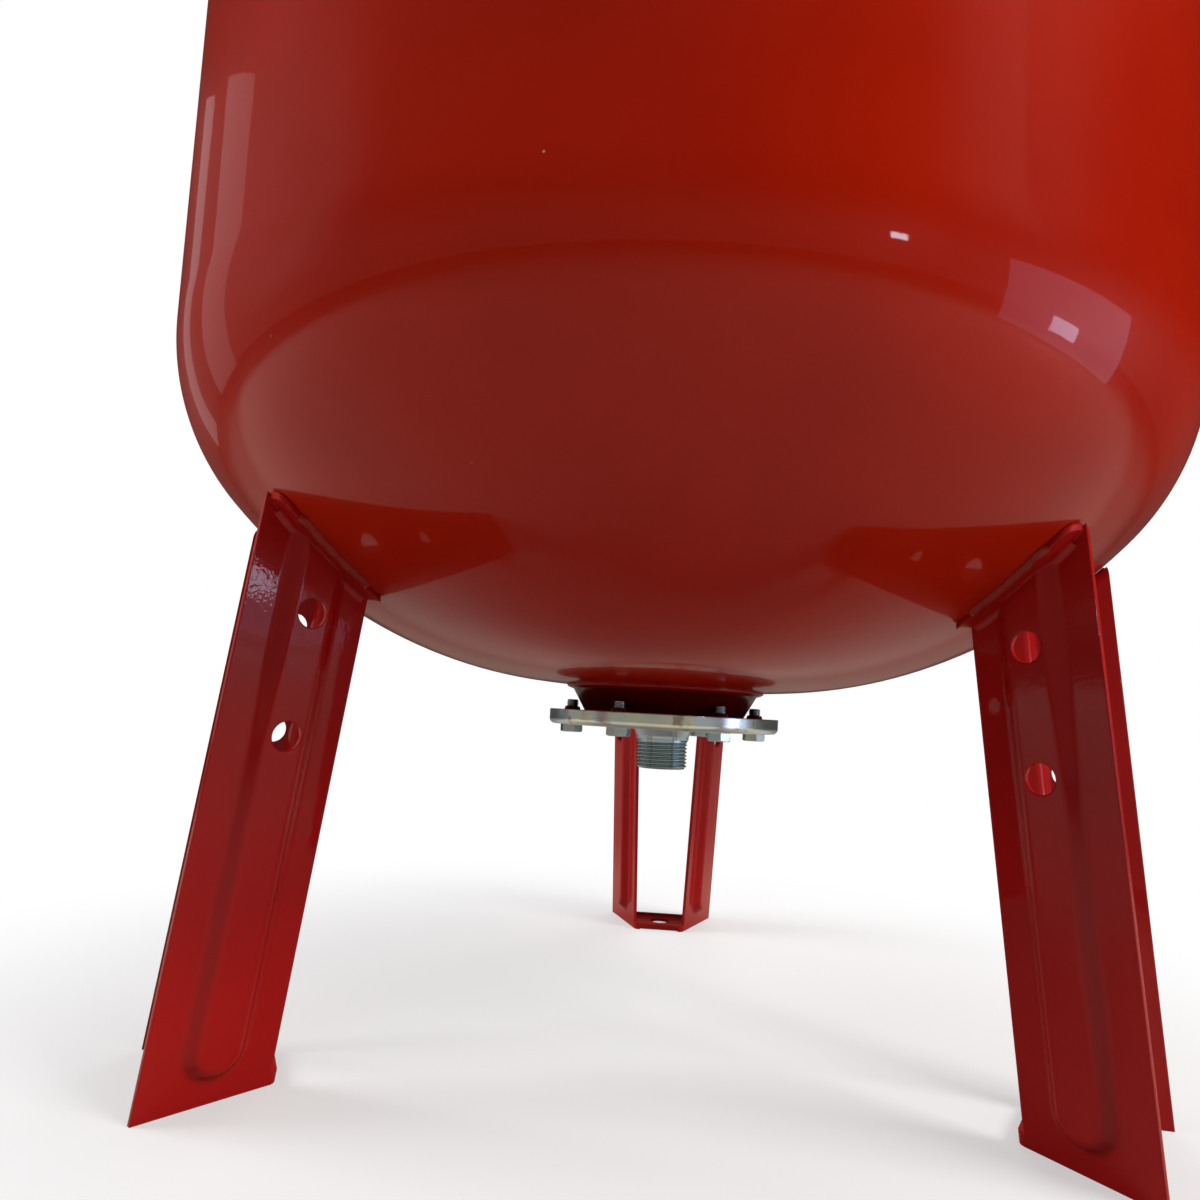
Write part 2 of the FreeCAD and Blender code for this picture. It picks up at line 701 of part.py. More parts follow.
def lip():
    """Lip along a wing's top: a band of sheet that follows the shell."""
    start, along, outward, length = lip_frame()
    root = outward * -LEG_SHEET / 2
    edge = outward * LIP_WIDTH
    corner = LIP_CORNER_RADIUS
    end = start + along * (length - LIP_END_STEP)
    start = start + along * LIP_END_STEP
    mid = (along + outward) * (corner / math.sqrt(2))
    centre = end + edge - (along + outward) * corner
    arc = Part.Arc(end + edge - outward * corner, centre + mid,
                   end + edge - along * corner).toShape()
    edges = polyline([start + root, end + root, end + edge - outward * corner]) + [arc]
    edges += polyline([end + edge - along * corner, start + edge, start + root])
    outline = Part.Face(Part.Wire(edges))
    column = outline.extrude(VERTICAL * (2 * LOWER_TANGENT))
    band = head_envelope(LEG_SEAT_GAP + LEG_SHEET).cut(head_envelope(LEG_SEAT_GAP))
    return column.common(band)


def off_head(place):
    """Distance of a point from the lower head's outer face and the face's normal there."""
    radius = math.hypot(place.x, place.y)
    for centre, rise, arc_radius, first, last in head_arcs():
        across = radius - centre
        below = LOWER_TANGENT + rise - place.z
        if math.atan2(below, across) <= last or centre == 0.0:
            break
    reach = math.hypot(across, below)
    level = across / reach / radius
    return reach - arc_radius, FreeCAD.Vector(place.x * level, place.y * level, -below / reach)


def bend_point(along_lip, off_wing, outset):
    """Point at given distances from the wing's outer face and from the shell."""
    start, along, outward, _ = lip_frame()
    normal = wing_outward()
    low, high = 0.0, LOWER_TANGENT
    for _ in range(60):
        height = (low + high) / 2
        place = start + along * along_lip + VERTICAL * height
        short = off_wing - normal.dot(place - wing_corner(0))
        place = place + outward * (short / normal.dot(outward))
        if off_head(place)[0] < outset:
            high = height
        else:
            low = height
    return place


def bend_section(along_lip, radius, reach, shift):
    """Closed section across a lip's bend, between an arc and the corner that it rounds.

    The arc has the bend's centre, moved by shift towards the corner, and the corner's two sides
    pass the centre at the distance called reach.
    """
    centre = bend_point(along_lip, LIP_BEND_RADIUS, LEG_SEAT_GAP + LEG_SHEET + LIP_BEND_RADIUS)
    to_wing = wing_outward() * -1
    to_lip = off_head(centre)[1] * -1
    both = to_wing + to_lip
    share = 1 / (1 + to_wing.dot(to_lip))
    centre = centre + both * (shift * share)
    corner = centre + both * (reach * share)
    middle = FreeCAD.Vector(both).normalize()
    face = Part.Arc(centre + to_wing * radius, centre + middle * radius,
                    centre + to_lip * radius).toShape()
    sides = polyline([centre + to_lip * radius, centre + to_lip * reach, corner,
                      centre + to_wing * reach, centre + to_wing * radius])
    return Part.Wire([face] + sides)


def lip_bend():
    """Rounding under a lip, where the sheet bends out of the wing."""
    length = lip_frame()[3]
    reach = LIP_BEND_RADIUS + LEG_SHEET / 4
    sections = [bend_section(place, LIP_BEND_RADIUS, reach, 0.0)
                for place in (LIP_BEND_START, length / 2, length - LIP_BEND_START)]
    return Part.makeLoft(sections, True, False)


def bend_back():
    """Tool that rounds the back of a lip's bend, all along the wing's top."""
    length = lip_frame()[3]
    radius = LIP_BEND_RADIUS + LEG_SHEET
    reach = radius + LEG_SHEET
    sections = [bend_section(place, radius, reach, LIP_BEND_BLEND)
                for place in (-LIP_BEND_OVERRUN, length / 2, length + LIP_BEND_OVERRUN)]
    return Part.makeLoft(sections, True, False)


def foot():
    """Foot tab with its bend up to the web and its upturned far end."""
    start = wing_corner(0).x - wing_outer_fold_back()
    sheet = LEG_SHEET
    radius = FOOT_BEND_RADIUS
    far = start + FOOT_LENGTH
    lean = math.tan(math.radians(LEG_LEAN))
    top = start - WEB_HEIGHT * lean
    diagonal = radius * (1 - math.sqrt(0.5))
    inner = radius - sheet
    inner_diagonal = sheet + inner * (1 - math.sqrt(0.5))
    edges = [
        Part.makeLine(point(top, WEB_HEIGHT), point(start, radius)),
        Part.Arc(point(start, radius), point(start + diagonal, diagonal),
                 point(start + radius, 0)).toShape(),
        Part.makeLine(point(start + radius, 0), point(far - radius, 0)),
        Part.Arc(point(far - radius, 0), point(far - diagonal, diagonal),
                 point(far, radius)).toShape(),
        Part.makeLine(point(far, radius), point(far, FOOT_LIP_HEIGHT)),
        Part.makeLine(point(far, FOOT_LIP_HEIGHT), point(far - sheet, FOOT_LIP_HEIGHT)),
        Part.makeLine(point(far - sheet, FOOT_LIP_HEIGHT), point(far - sheet, radius)),
        Part.Arc(point(far - sheet, radius), point(far - inner_diagonal, inner_diagonal),
                 point(far - radius, sheet)).toShape(),
        Part.makeLine(point(far - radius, sheet), point(start + radius, sheet)),
        Part.Arc(point(start + radius, sheet), point(start + inner_diagonal, inner_diagonal),
                 point(start + sheet, radius)).toShape(),
        Part.makeLine(point(start + sheet, radius), point(top + sheet, WEB_HEIGHT)),
        Part.makeLine(point(top + sheet, WEB_HEIGHT), point(top, WEB_HEIGHT)),
    ]
    half_end = FOOT_END_WIDTH / 2
    profile = Part.Face(Part.Wire(edges))
    profile.translate(FreeCAD.Vector(0, -half_end, 0))
    bar = profile.extrude(FreeCAD.Vector(0, FOOT_END_WIDTH, 0))
    half_root = FOOT_ROOT_WIDTH / 2
    half_near = FOOT_NEAR_WIDTH / 2
    plan = [
        (start - radius, half_root),
        (start + radius, half_root),
        (start + FOOT_NEAR_STEP, half_near),
        (far + 1, half_end),
    ]
    corners = [FreeCAD.Vector(out, side, -1) for out, side in plan]
    corners += [FreeCAD.Vector(out, -side, -1) for out, side in reversed(plan)]
    prism = Part.Face(Part.makePolygon(corners + corners[:1])).extrude(VERTICAL * LOWER_TANGENT)
    hole = Part.makeCylinder(ANCHOR_HOLE_DIAMETER / 2, LOWER_TANGENT,
                             FreeCAD.Vector(ANCHOR_RADIUS, 0, -1))
    return bar.common(prism).cut(hole)


def wing_outer_fold_back():
    """How far the web's outer face lies behind the inner edge of the wing's outer face."""
    flare = math.radians(WING_FLARE)
    return FOLD_RADIUS * (1 - math.sin(flare))


def foot_clearance():
    """Tool that frees the web's lower edge where the foot tab's bend takes its place."""
    start = wing_corner(0).x
    corner = FreeCAD.Vector(start - 4 * LEG_SHEET, -FOOT_ROOT_WIDTH / 2, -1)
    return Part.makeBox(8 * LEG_SHEET, FOOT_ROOT_WIDTH, FOOT_BEND_RADIUS + 1, corner)


def leg_half():
    """One wing with its fold, half the web, the bead, the holes and the lip."""
    height = LOWER_TANGENT
    half = folded_half(height)
    half = half.fuse(bead_block(0.0, LEG_SHEET / 2, height))
    half = half.cut(bead_block(LEG_SHEET, 3 * LEG_SHEET, height))
    half = half.cut(wing_holes())
    half = half.cut(window_tool(height))
    half = half.cut(head_envelope(LEG_SEAT_GAP))
    return half.fuse(lip()).fuse(lip_bend()).cut(bend_back())


def leg_blank():
    """A leg reaching out along +X, its top trimmed to the shell."""
    half = leg_half()
    whole = half.fuse(mirrored(half)).cut(foot_clearance())
    floor_tool = Part.makeBox(2 * TANK_RADIUS, 2 * TANK_RADIUS, TANK_RADIUS,
                              FreeCAD.Vector(0, -TANK_RADIUS, -TANK_RADIUS))
    whole = whole.cut(floor_tool)
    return whole.fuse(foot()).removeSplitter()


def leg_weld_blank(leg):
    """Weld along the outer edge of each lip, between the lip and the shell."""
    start, along, outward, length = lip_frame()
    run = length - LEG_WELD_START - LEG_WELD_END
    places = []
    for share in (0.0, 0.5, 1.0):
        place = start + along * (LEG_WELD_START + run * share)
        place = place + outward * LIP_WIDTH
        height = lower_head_height(math.hypot(place.x, place.y))
        places.append(FreeCAD.Vector(place.x, place.y, height))
    path = Part.Arc(*places)
    tangent = path.toShape().tangentAt(path.toShape().FirstParameter)
    section = Part.Wire(Part.makeCircle(LEG_WELD_RADIUS, places[0], tangent))
    rod = Part.Wire(path.toShape()).makePipeShell([section], True, True)
    ends = [Part.makeSphere(LEG_WELD_RADIUS, place) for place in (places[0], places[2])]
    bead = rod.fuse(ends).removeSplitter()
    bead = bead.cut(head_envelope(0.0)).cut(leg)
    return [bead, mirrored(bead)]


# Air valve

def valve_hole_radius():
    return VALVE_HUB_DIAMETER / 2 + VALVE_HOLE_CLEARANCE


def valve_base():
    """Height at which the boss's disc stands on the shell."""
    drop = lower_head_height(valve_hole_radius()) - GROUND_CLEARANCE
    return SHELL_TOP - drop


def valve_boss():
    """Disc with a hub above and a short spigot in the shell's hole, bored for the stem."""
    base = valve_base()
    bore = VALVE_THREAD_DIAMETER / 2
    hub = VALVE_HUB_DIAMETER / 2
    disc = VALVE_BOSS_DIAMETER / 2
    return turned([
        (bore, base - VALVE_SPIGOT_DEPTH),
        (hub, base - VALVE_SPIGOT_DEPTH),
        (hub, base),
        (disc, base),
        (disc, base + VALVE_BOSS_HEIGHT),
        (hub, base + VALVE_BOSS_HEIGHT),
        (hub, base + VALVE_BOSS_HEIGHT + VALVE_HUB_HEIGHT),
        (bore, base + VALVE_BOSS_HEIGHT + VALVE_HUB_HEIGHT),
    ])


def valve_boss_weld():
    """Fillet weld round the boss's disc."""
    disc = VALVE_BOSS_DIAMETER / 2
    foot_edge = along_shell(disc, disc + VALVE_WELD_LEG, True)
    inner, outer = [vertex.Point for vertex in foot_edge.Vertexes]
    top = point(disc, valve_base() + VALVE_WELD_LEG)
    return revolved([foot_edge] + polyline([outer, top, inner]))


def valve_seat():
    return valve_base() + VALVE_BOSS_HEIGHT + VALVE_HUB_HEIGHT


def valve_seal():
    seat = valve_seat()
    bore = VALVE_THREAD_DIAMETER / 2
    outer = VALVE_SEAL_DIAMETER / 2
    return turned([(bore, seat), (outer, seat), (outer, seat + VALVE_SEAL_THICKNESS),
                   (bore, seat + VALVE_SEAL_THICKNESS)])


def valve_stem():
    """Brass stem: thread in the boss, hexagon on the seal and neck with the valve's bore."""
    bore = VALVE_BORE / 2
    thread = VALVE_THREAD_DIAMETER / 2 - VALVE_THREAD_PLAY
    neck = VALVE_NECK_DIAMETER / 2
    hex_base = valve_seat() + VALVE_SEAL_THICKNESS
    hex_top = hex_base + VALVE_HEX_HEIGHT
    body = turned([(bore, hex_base - VALVE_THREAD_LENGTH), (thread, hex_base - VALVE_THREAD_LENGTH),
                   (thread, hex_base), (neck, hex_base), (neck, hex_top + VALVE_NECK_HEIGHT),
                   (bore, hex_top + VALVE_NECK_HEIGHT)])
    nut = hexagon(VALVE_HEX_ACROSS_FLATS, VALVE_HEX_HEIGHT, hex_base)
    nut = nut.cut(Part.makeCylinder(bore, VALVE_HEX_HEIGHT, point(0, hex_base)))
    return body.fuse(nut).removeSplitter()


def valve_top():
    return valve_seat() + VALVE_SEAL_THICKNESS + VALVE_HEX_HEIGHT + VALVE_NECK_HEIGHT


def valve_core():
    top = valve_top() - VALVE_CORE_DEPTH
    radius = VALVE_CORE_DIAMETER / 2
    return Part.makeCylinder(radius, VALVE_CORE_LENGTH, point(0, top - VALVE_CORE_LENGTH))


def dust_cap():
    """Small cap screwed over the valve's neck."""
    inner = VALVE_NECK_DIAMETER / 2 + DUST_CAP_PLAY
    outer = inner + DUST_CAP_WALL
    base = valve_top() - VALVE_NECK_HEIGHT + DUST_CAP_LIFT
    roof = valve_top() + DUST_CAP_PLAY
    return turned([(inner, base), (outer, base), (outer, roof + DUST_CAP_WALL),
                   (0, roof + DUST_CAP_WALL), (0, roof), (inner, roof)])


def guard_cap():
    """Plain cap pushed over the hub, standing on the boss's disc."""
    inner = VALVE_HUB_DIAMETER / 2 + GUARD_CAP_PLAY
    outer = inner + GUARD_CAP_WALL
    base = valve_base() + VALVE_BOSS_HEIGHT
    roof = valve_top() + DUST_CAP_WALL + GUARD_CAP_HEADROOM
    cap = turned([(inner, base), (outer, base), (outer, roof + GUARD_CAP_WALL),
                  (0, roof + GUARD_CAP_WALL), (0, roof), (inner, roof)])
    return cap.makeFillet(GUARD_CAP_WALL, edges_at_height(cap, roof + GUARD_CAP_WALL))


LEG_ANGLES = {"back": 90, "front_left": 210, "front_right": 330}


def main():
    os.makedirs("parts", exist_ok=True)
    nodes = {
        "lower_shell": lower_shell(),
        "upper_shell": upper_shell(),
        "girth_weld": girth_weld(),
        "neck_collar": neck_collar(),
        "neck_weld": neck_weld(),
        "weld_nuts": weld_nuts(),
        "counterflange": counterflange(),
        "flange_bolts": flange_bolts(),
        "nipple": nipple(),
        "nipple_weld": nipple_weld(),
        "bladder": bladder(),
        "valve_boss": valve_boss(),
        "valve_boss_weld": valve_boss_weld(),
        "valve_seal": valve_seal(),
        "valve_stem": valve_stem(),
        "valve_core": valve_core(),
        "dust_cap": dust_cap(),
        "guard_cap": guard_cap(),
    }
    blank = leg_blank()
    welds = Part.makeCompound(leg_weld_blank(blank))
    for side, angle in LEG_ANGLES.items():
        nodes["leg_" + side] = blank.rotated(AXIS_POINT, VERTICAL, angle)
        nodes["leg_welds_" + side] = welds.rotated(AXIS_POINT, VERTICAL, angle)
    for name, shape in nodes.items():
        shape.exportStep("parts/" + name + ".step")
        print(name, len(shape.Solids), shape.isValid(), round(shape.Volume), shape.BoundBox)


main()
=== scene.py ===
"""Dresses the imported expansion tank: smooth shells, cut threads, welds, paint, zinc and a plain studio."""

from __future__ import annotations

import json
import logging
import math
from dataclasses import dataclass, field
from enum import Enum
from functools import partial
from typing import Callable, Sequence

import bpy
from mathutils import Matrix, Vector

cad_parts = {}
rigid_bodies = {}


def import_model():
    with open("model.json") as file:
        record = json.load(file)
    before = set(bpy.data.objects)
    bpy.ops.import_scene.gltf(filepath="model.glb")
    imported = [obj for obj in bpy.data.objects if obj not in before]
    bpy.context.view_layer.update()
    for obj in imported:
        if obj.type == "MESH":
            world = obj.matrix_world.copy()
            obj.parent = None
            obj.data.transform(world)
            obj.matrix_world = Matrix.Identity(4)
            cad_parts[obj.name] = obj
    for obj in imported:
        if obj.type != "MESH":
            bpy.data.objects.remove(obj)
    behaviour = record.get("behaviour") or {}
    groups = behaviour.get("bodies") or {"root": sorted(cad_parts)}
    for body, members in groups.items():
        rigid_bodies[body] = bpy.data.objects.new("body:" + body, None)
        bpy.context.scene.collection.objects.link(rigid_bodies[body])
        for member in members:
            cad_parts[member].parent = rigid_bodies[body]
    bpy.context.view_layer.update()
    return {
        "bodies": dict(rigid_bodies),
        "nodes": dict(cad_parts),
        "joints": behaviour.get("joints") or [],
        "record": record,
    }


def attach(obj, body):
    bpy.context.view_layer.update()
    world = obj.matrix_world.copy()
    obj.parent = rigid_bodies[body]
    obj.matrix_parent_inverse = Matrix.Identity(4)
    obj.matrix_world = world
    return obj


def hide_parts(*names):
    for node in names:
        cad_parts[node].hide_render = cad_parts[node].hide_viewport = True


LOG = logging.getLogger("expansion_tank")
MM = 0.001
TURN = 2.0 * math.pi
WHITE = (1.0, 1.0, 1.0)

Point = tuple[float, float, float]
Colour = tuple[float, float, float]
Profile = tuple[tuple[float, float], ...]


def linear_value(shown: float) -> float:
    """Turns one display value from 0 to 255 into its linear share."""
    share = shown / 255.0
    return share / 12.92 if share <= 0.04045 else ((share + 0.055) / 1.055) ** 2.4


def srgb(red: float, green: float, blue: float) -> Colour:
    """Turns a colour as it shows on a screen into the linear colour that a shader takes.

    Args:
        red: Red from 0 to 255.
        green: Green from 0 to 255.
        blue: Blue from 0 to 255.

    Returns:
        The three linear values.
    """
    return linear_value(red), linear_value(green), linear_value(blue)


DUST_ON_PAINT = srgb(196, 176, 168)
DUST_SPECK = srgb(214, 190, 182)
DUST_ON_ZINC = srgb(150, 140, 128)
DUST_ON_PLASTIC = srgb(170, 160, 150)
STRAY_PAINT = srgb(122, 52, 46)
# Painted shade laid into the roots of a cut thread.
THREAD_ROOT_SHADE = srgb(56, 66, 70)


def smoothstep(low: float, high: float, value: float) -> float:
    """Eases from 0 at low to 1 at high.

    Args:
        low: Where the step starts.
        high: Where it ends.
        value: Where it is read.

    Returns:
        A share from 0 to 1.
    """
    share = min(1.0, max(0.0, (value - low) / (high - low)))
    return share * share * (3.0 - 2.0 * share)


def ripple(phase: float, seed: float) -> float:
    """A wandering wave of about unit height, such as the scales of a weld bead.

    Args:
        phase: Position along the wave, in turns.
        seed: Shifts the wandering part.

    Returns:
        A value from about -1 to 1.
    """
    wander = math.sin(TURN * (0.37 * phase + seed)) + math.sin(TURN * (0.173 * phase + 2.1 * seed))
    return 0.6 * math.sin(TURN * (phase + 0.16 * wander)) + 0.2 * wander


@dataclass(frozen=True)
class WeldScales:
    """The scales that a weld bead is laid in.

    Attributes:
        body: Size of the bead without them.
        rise: How far they rise and fall.
        lag: How far a scale trails aside of the bead's middle, in scales.
        seed: Shifts their wandering.
    """

    body: float
    rise: float
    lag: float
    seed: float

    def size(self, phase: float, aside: float) -> float:
        """Size of the bead with its scales.

        Args:
            phase: Place along the bead, in scales.
            aside: Share of the lag at this place.

        Returns:
            The size.
        """
        return self.body + self.rise * ripple(phase + self.lag * aside, self.seed)


def ring(
    radius: float,
    height: float,
    segments: int,
    wave: Callable[[float], float] | None = None,
) -> list[Point]:
    """Points round the tank's axis.

    Args:
        radius: Distance from the axis.
        height: Height above the floor.
        segments: Number of points.
        wave: Change of radius at an angle, or None for a true circle.

    Returns:
        The points, counter-clockwise from above.
    """
    row = []
    for index in range(segments):
        angle = TURN * index / segments
        reach = radius + (wave(angle) if wave else 0.0)
        row.append((reach * math.cos(angle), reach * math.sin(angle), height))
    return row


class MeshBuilder:
    """Collects corners and faces of one piece, in millimetres, and makes its object."""

    def __init__(self, name: str) -> None:
        """Starts an empty piece.

        Args:
            name: Name of the object to make.
        """
        self.name = name
        self.corners: list[Point] = []
        self.faces: list[tuple[int, ...]] = []

    def grid(self, rows: Sequence[Sequence[Point]]) -> None:
        """Adds a skin through rows of points, each row a closed ring.

        Args:
            rows: Rows with the same number of points each.
        """
        start = len(self.corners)
        width = len(rows[0])
        for row in rows:
            self.corners.extend(row)
        for upper in range(len(rows) - 1):
            here, there = start + upper * width, start + (upper + 1) * width
            for index in range(width):
                after = (index + 1) % width
                self.faces.append((here + index, here + after, there + after, there + index))

    def disc(self, row: Sequence[Point]) -> None:
        """Adds one flat face over a ring of points.

        Args:
            row: The ring's points in order.
        """
        start = len(self.corners)
        self.corners.extend(row)
        self.faces.append(tuple(range(start, start + len(row))))

    def build(self, smooth_angle: float = 35.0) -> bpy.types.Object:
        """Makes the object and rides it on the body.

        Args:
            smooth_angle: Steepest bend in degrees that is still shaded as a curve.

        Returns:
            The new object.
        """
        mesh = bpy.data.meshes.new(self.name)
        mesh.from_pydata([(x * MM, y * MM, z * MM) for x, y, z in self.corners], [], self.faces)
        mesh.validate()
        mesh.shade_smooth()
        mesh.set_sharp_from_angle(angle=math.radians(smooth_angle))
        piece = bpy.data.objects.new(self.name, mesh)
        bpy.context.scene.collection.objects.link(piece)
        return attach(piece, "root")


class NodeGraph:
    """Short ways to add and join nodes in a material, a group or the world."""

    def __init__(self, tree: bpy.types.NodeTree) -> None:
        """Wraps a tree.

        Args:
            tree: The node tree that is added to.
        """
        self.tree = tree

    def add(
        self,
        kind: str,
        inputs: dict[str | int, object] | None = None,
        **settings: object,
    ) -> bpy.types.Node:
        """Adds a node, sets its options and joins or sets its inputs.

        Args:
            kind: Blender's name of the node type.
            inputs: Values or output sockets by input name or number.
            **settings: Options of the node itself.

        Returns:
            The new node.
        """
        node = self.tree.nodes.new(kind)
        for name, value in settings.items():
            setattr(node, name, value)
        self.join(node, inputs or {})
        return node

    def join(self, node: bpy.types.Node, inputs: dict[str | int, object]) -> None:
        """Joins or sets a node's inputs.

        Args:
            node: The node.
            inputs: Values or output sockets by input name or number.
        """
        for name, value in inputs.items():
            if isinstance(value, bpy.types.NodeSocket):
                self.tree.links.new(value, node.inputs[name])
            else:
                node.inputs[name].default_value = value

    def math(self, operation: str, first: object, second: object) -> bpy.types.NodeSocket:
        """Adds a sum, product or other plain calculation.

        Args:
            operation: Blender's name of the operation.
            first: First value or socket.
            second: Second value or socket.

        Returns:
            The result's socket.
        """
        return self.add("ShaderNodeMath", {0: first, 1: second}, operation=operation).outputs[0]

    def range(
        self,
        value: object,
        low: float,
        high: float,
        out_low: object = 0.0,
        out_high: object = 1.0,
    ) -> bpy.types.NodeSocket:
        """Maps a span smoothly onto another, held at both ends.

        Args:
            value: Value or socket that is mapped.
            low: Start of the span.
            high: End of the span.
            out_low: Result at the start.
            out_high: Result at the end.

        Returns:
            The result's socket.
        """
        node = self.add(
            "ShaderNodeMapRange",
            {"Value": value, "From Min": low, "From Max": high, "To Min": out_low, "To Max": out_high},
            interpolation_type="SMOOTHSTEP",
        )
        return node.outputs["Result"]

    def noise(
        self,
        vector: object,
        scale: object,
        detail: float = 3.0,
        rough: float = 0.5,
    ) -> bpy.types.NodeSocket:
        """Adds a noise pattern.

        Args:
            vector: Socket of the position.
            scale: Cells to the metre, as a value or socket.
            detail: Finer layers.
            rough: Strength of the finer layers.

        Returns:
            The pattern's value socket.
        """
        inputs = {"Vector": vector, "Scale": scale, "Detail": detail, "Roughness": rough}
        return self.add("ShaderNodeTexNoise", inputs).outputs["Fac"]

    def mix(self, share: object, first: object, second: object) -> bpy.types.NodeSocket:
        """Mixes two colours.

        Args:
            share: Share of the second colour.
            first: First colour or socket.
            second: Second colour or socket.

        Returns:
            The mixed colour's socket.
        """
        node = self.add("ShaderNodeMix", {"Factor": share}, data_type="RGBA")
        for name, value in (("A", first), ("B", second)):
            socket = next(s for s in node.inputs if s.name == name and s.type == "RGBA")
            if isinstance(value, bpy.types.NodeSocket):
                self.tree.links.new(value, socket)
            else:
                socket.default_value = (*value, 1.0)
        return next(s for s in node.outputs if s.type == "RGBA")

    def split(self, vector: bpy.types.NodeSocket) -> dict[str, bpy.types.NodeSocket]:
        """Splits a vector.

        Args:
            vector: Socket of the vector.

        Returns:
            The sockets of X, Y and Z by name.
        """
        node = self.add("ShaderNodeSeparateXYZ", {"Vector": vector})
        return {axis: node.outputs[axis] for axis in "XYZ"}

    def length(self, vector: bpy.types.NodeSocket) -> bpy.types.NodeSocket:
        """Measures a vector's length.

        Args:
            vector: Socket of the vector.

        Returns:
            The length's socket.
        """
        return self.add("ShaderNodeVectorMath", {0: vector}, operation="LENGTH").outputs["Value"]

    def effect(
        self,
        group: bpy.types.NodeTree,
        place: bpy.types.NodeSocket,
        **values: float,
    ) -> bpy.types.bpy_prop_collection:
        """Adds one of the shared effects.

        Args:
            group: The effect's node group.
            place: Socket of the position.
            **values: The effect's other inputs.

        Returns:
            The effect's outputs by name.
        """
        return self.add("ShaderNodeGroup", {"Position": place, **values}, node_tree=group).outputs

    def surface(self, inputs: dict[str | int, object]) -> None:
        """Adds the surface's shader and joins it to the material's output.

        Args:
            inputs: Values or output sockets by input name.
        """
        shader = self.add("ShaderNodeBsdfPrincipled", inputs)
        self.add("ShaderNodeOutputMaterial", {"Surface": shader.outputs["BSDF"]})


def new_material(name: str) -> tuple[bpy.types.Material, NodeGraph, bpy.types.NodeSocket]:
    """Makes a material with an empty graph.

    Args:
        name: Name of the material.

    Returns:
        The material, its graph, and the socket of the position on the object.
    """
    material = bpy.data.materials.new(name)
    material.use_nodes = True
    material.node_tree.nodes.clear()
    graph = NodeGraph(material.node_tree)
    return material, graph, graph.add("ShaderNodeTexCoord").outputs["Object"]


def new_group(
    name: str,
    inputs: dict[str, float | None],
    outputs: Sequence[str],
) -> tuple[NodeGraph, bpy.types.Node, bpy.types.Node]:
    """Makes an empty shader node group with named sockets.

    Args:
        name: Name of the group.
        inputs: Default of each input by name, or None for a vector.
        outputs: Name of each output, which are all values.

    Returns:
        The group's graph, its input node and its output node.
    """
    group = bpy.data.node_groups.new(name, "ShaderNodeTree")
    for label, value in inputs.items():
        kind = "NodeSocketVector" if value is None else "NodeSocketFloat"
        socket = group.interface.new_socket(name=label, in_out="INPUT", socket_type=kind)
        if value is not None:
            socket.default_value = value
    for label in outputs:
        group.interface.new_socket(name=label, in_out="OUTPUT", socket_type="NodeSocketFloat")
    graph = NodeGraph(group)
    return graph, graph.add("NodeGroupInput"), graph.add("NodeGroupOutput")


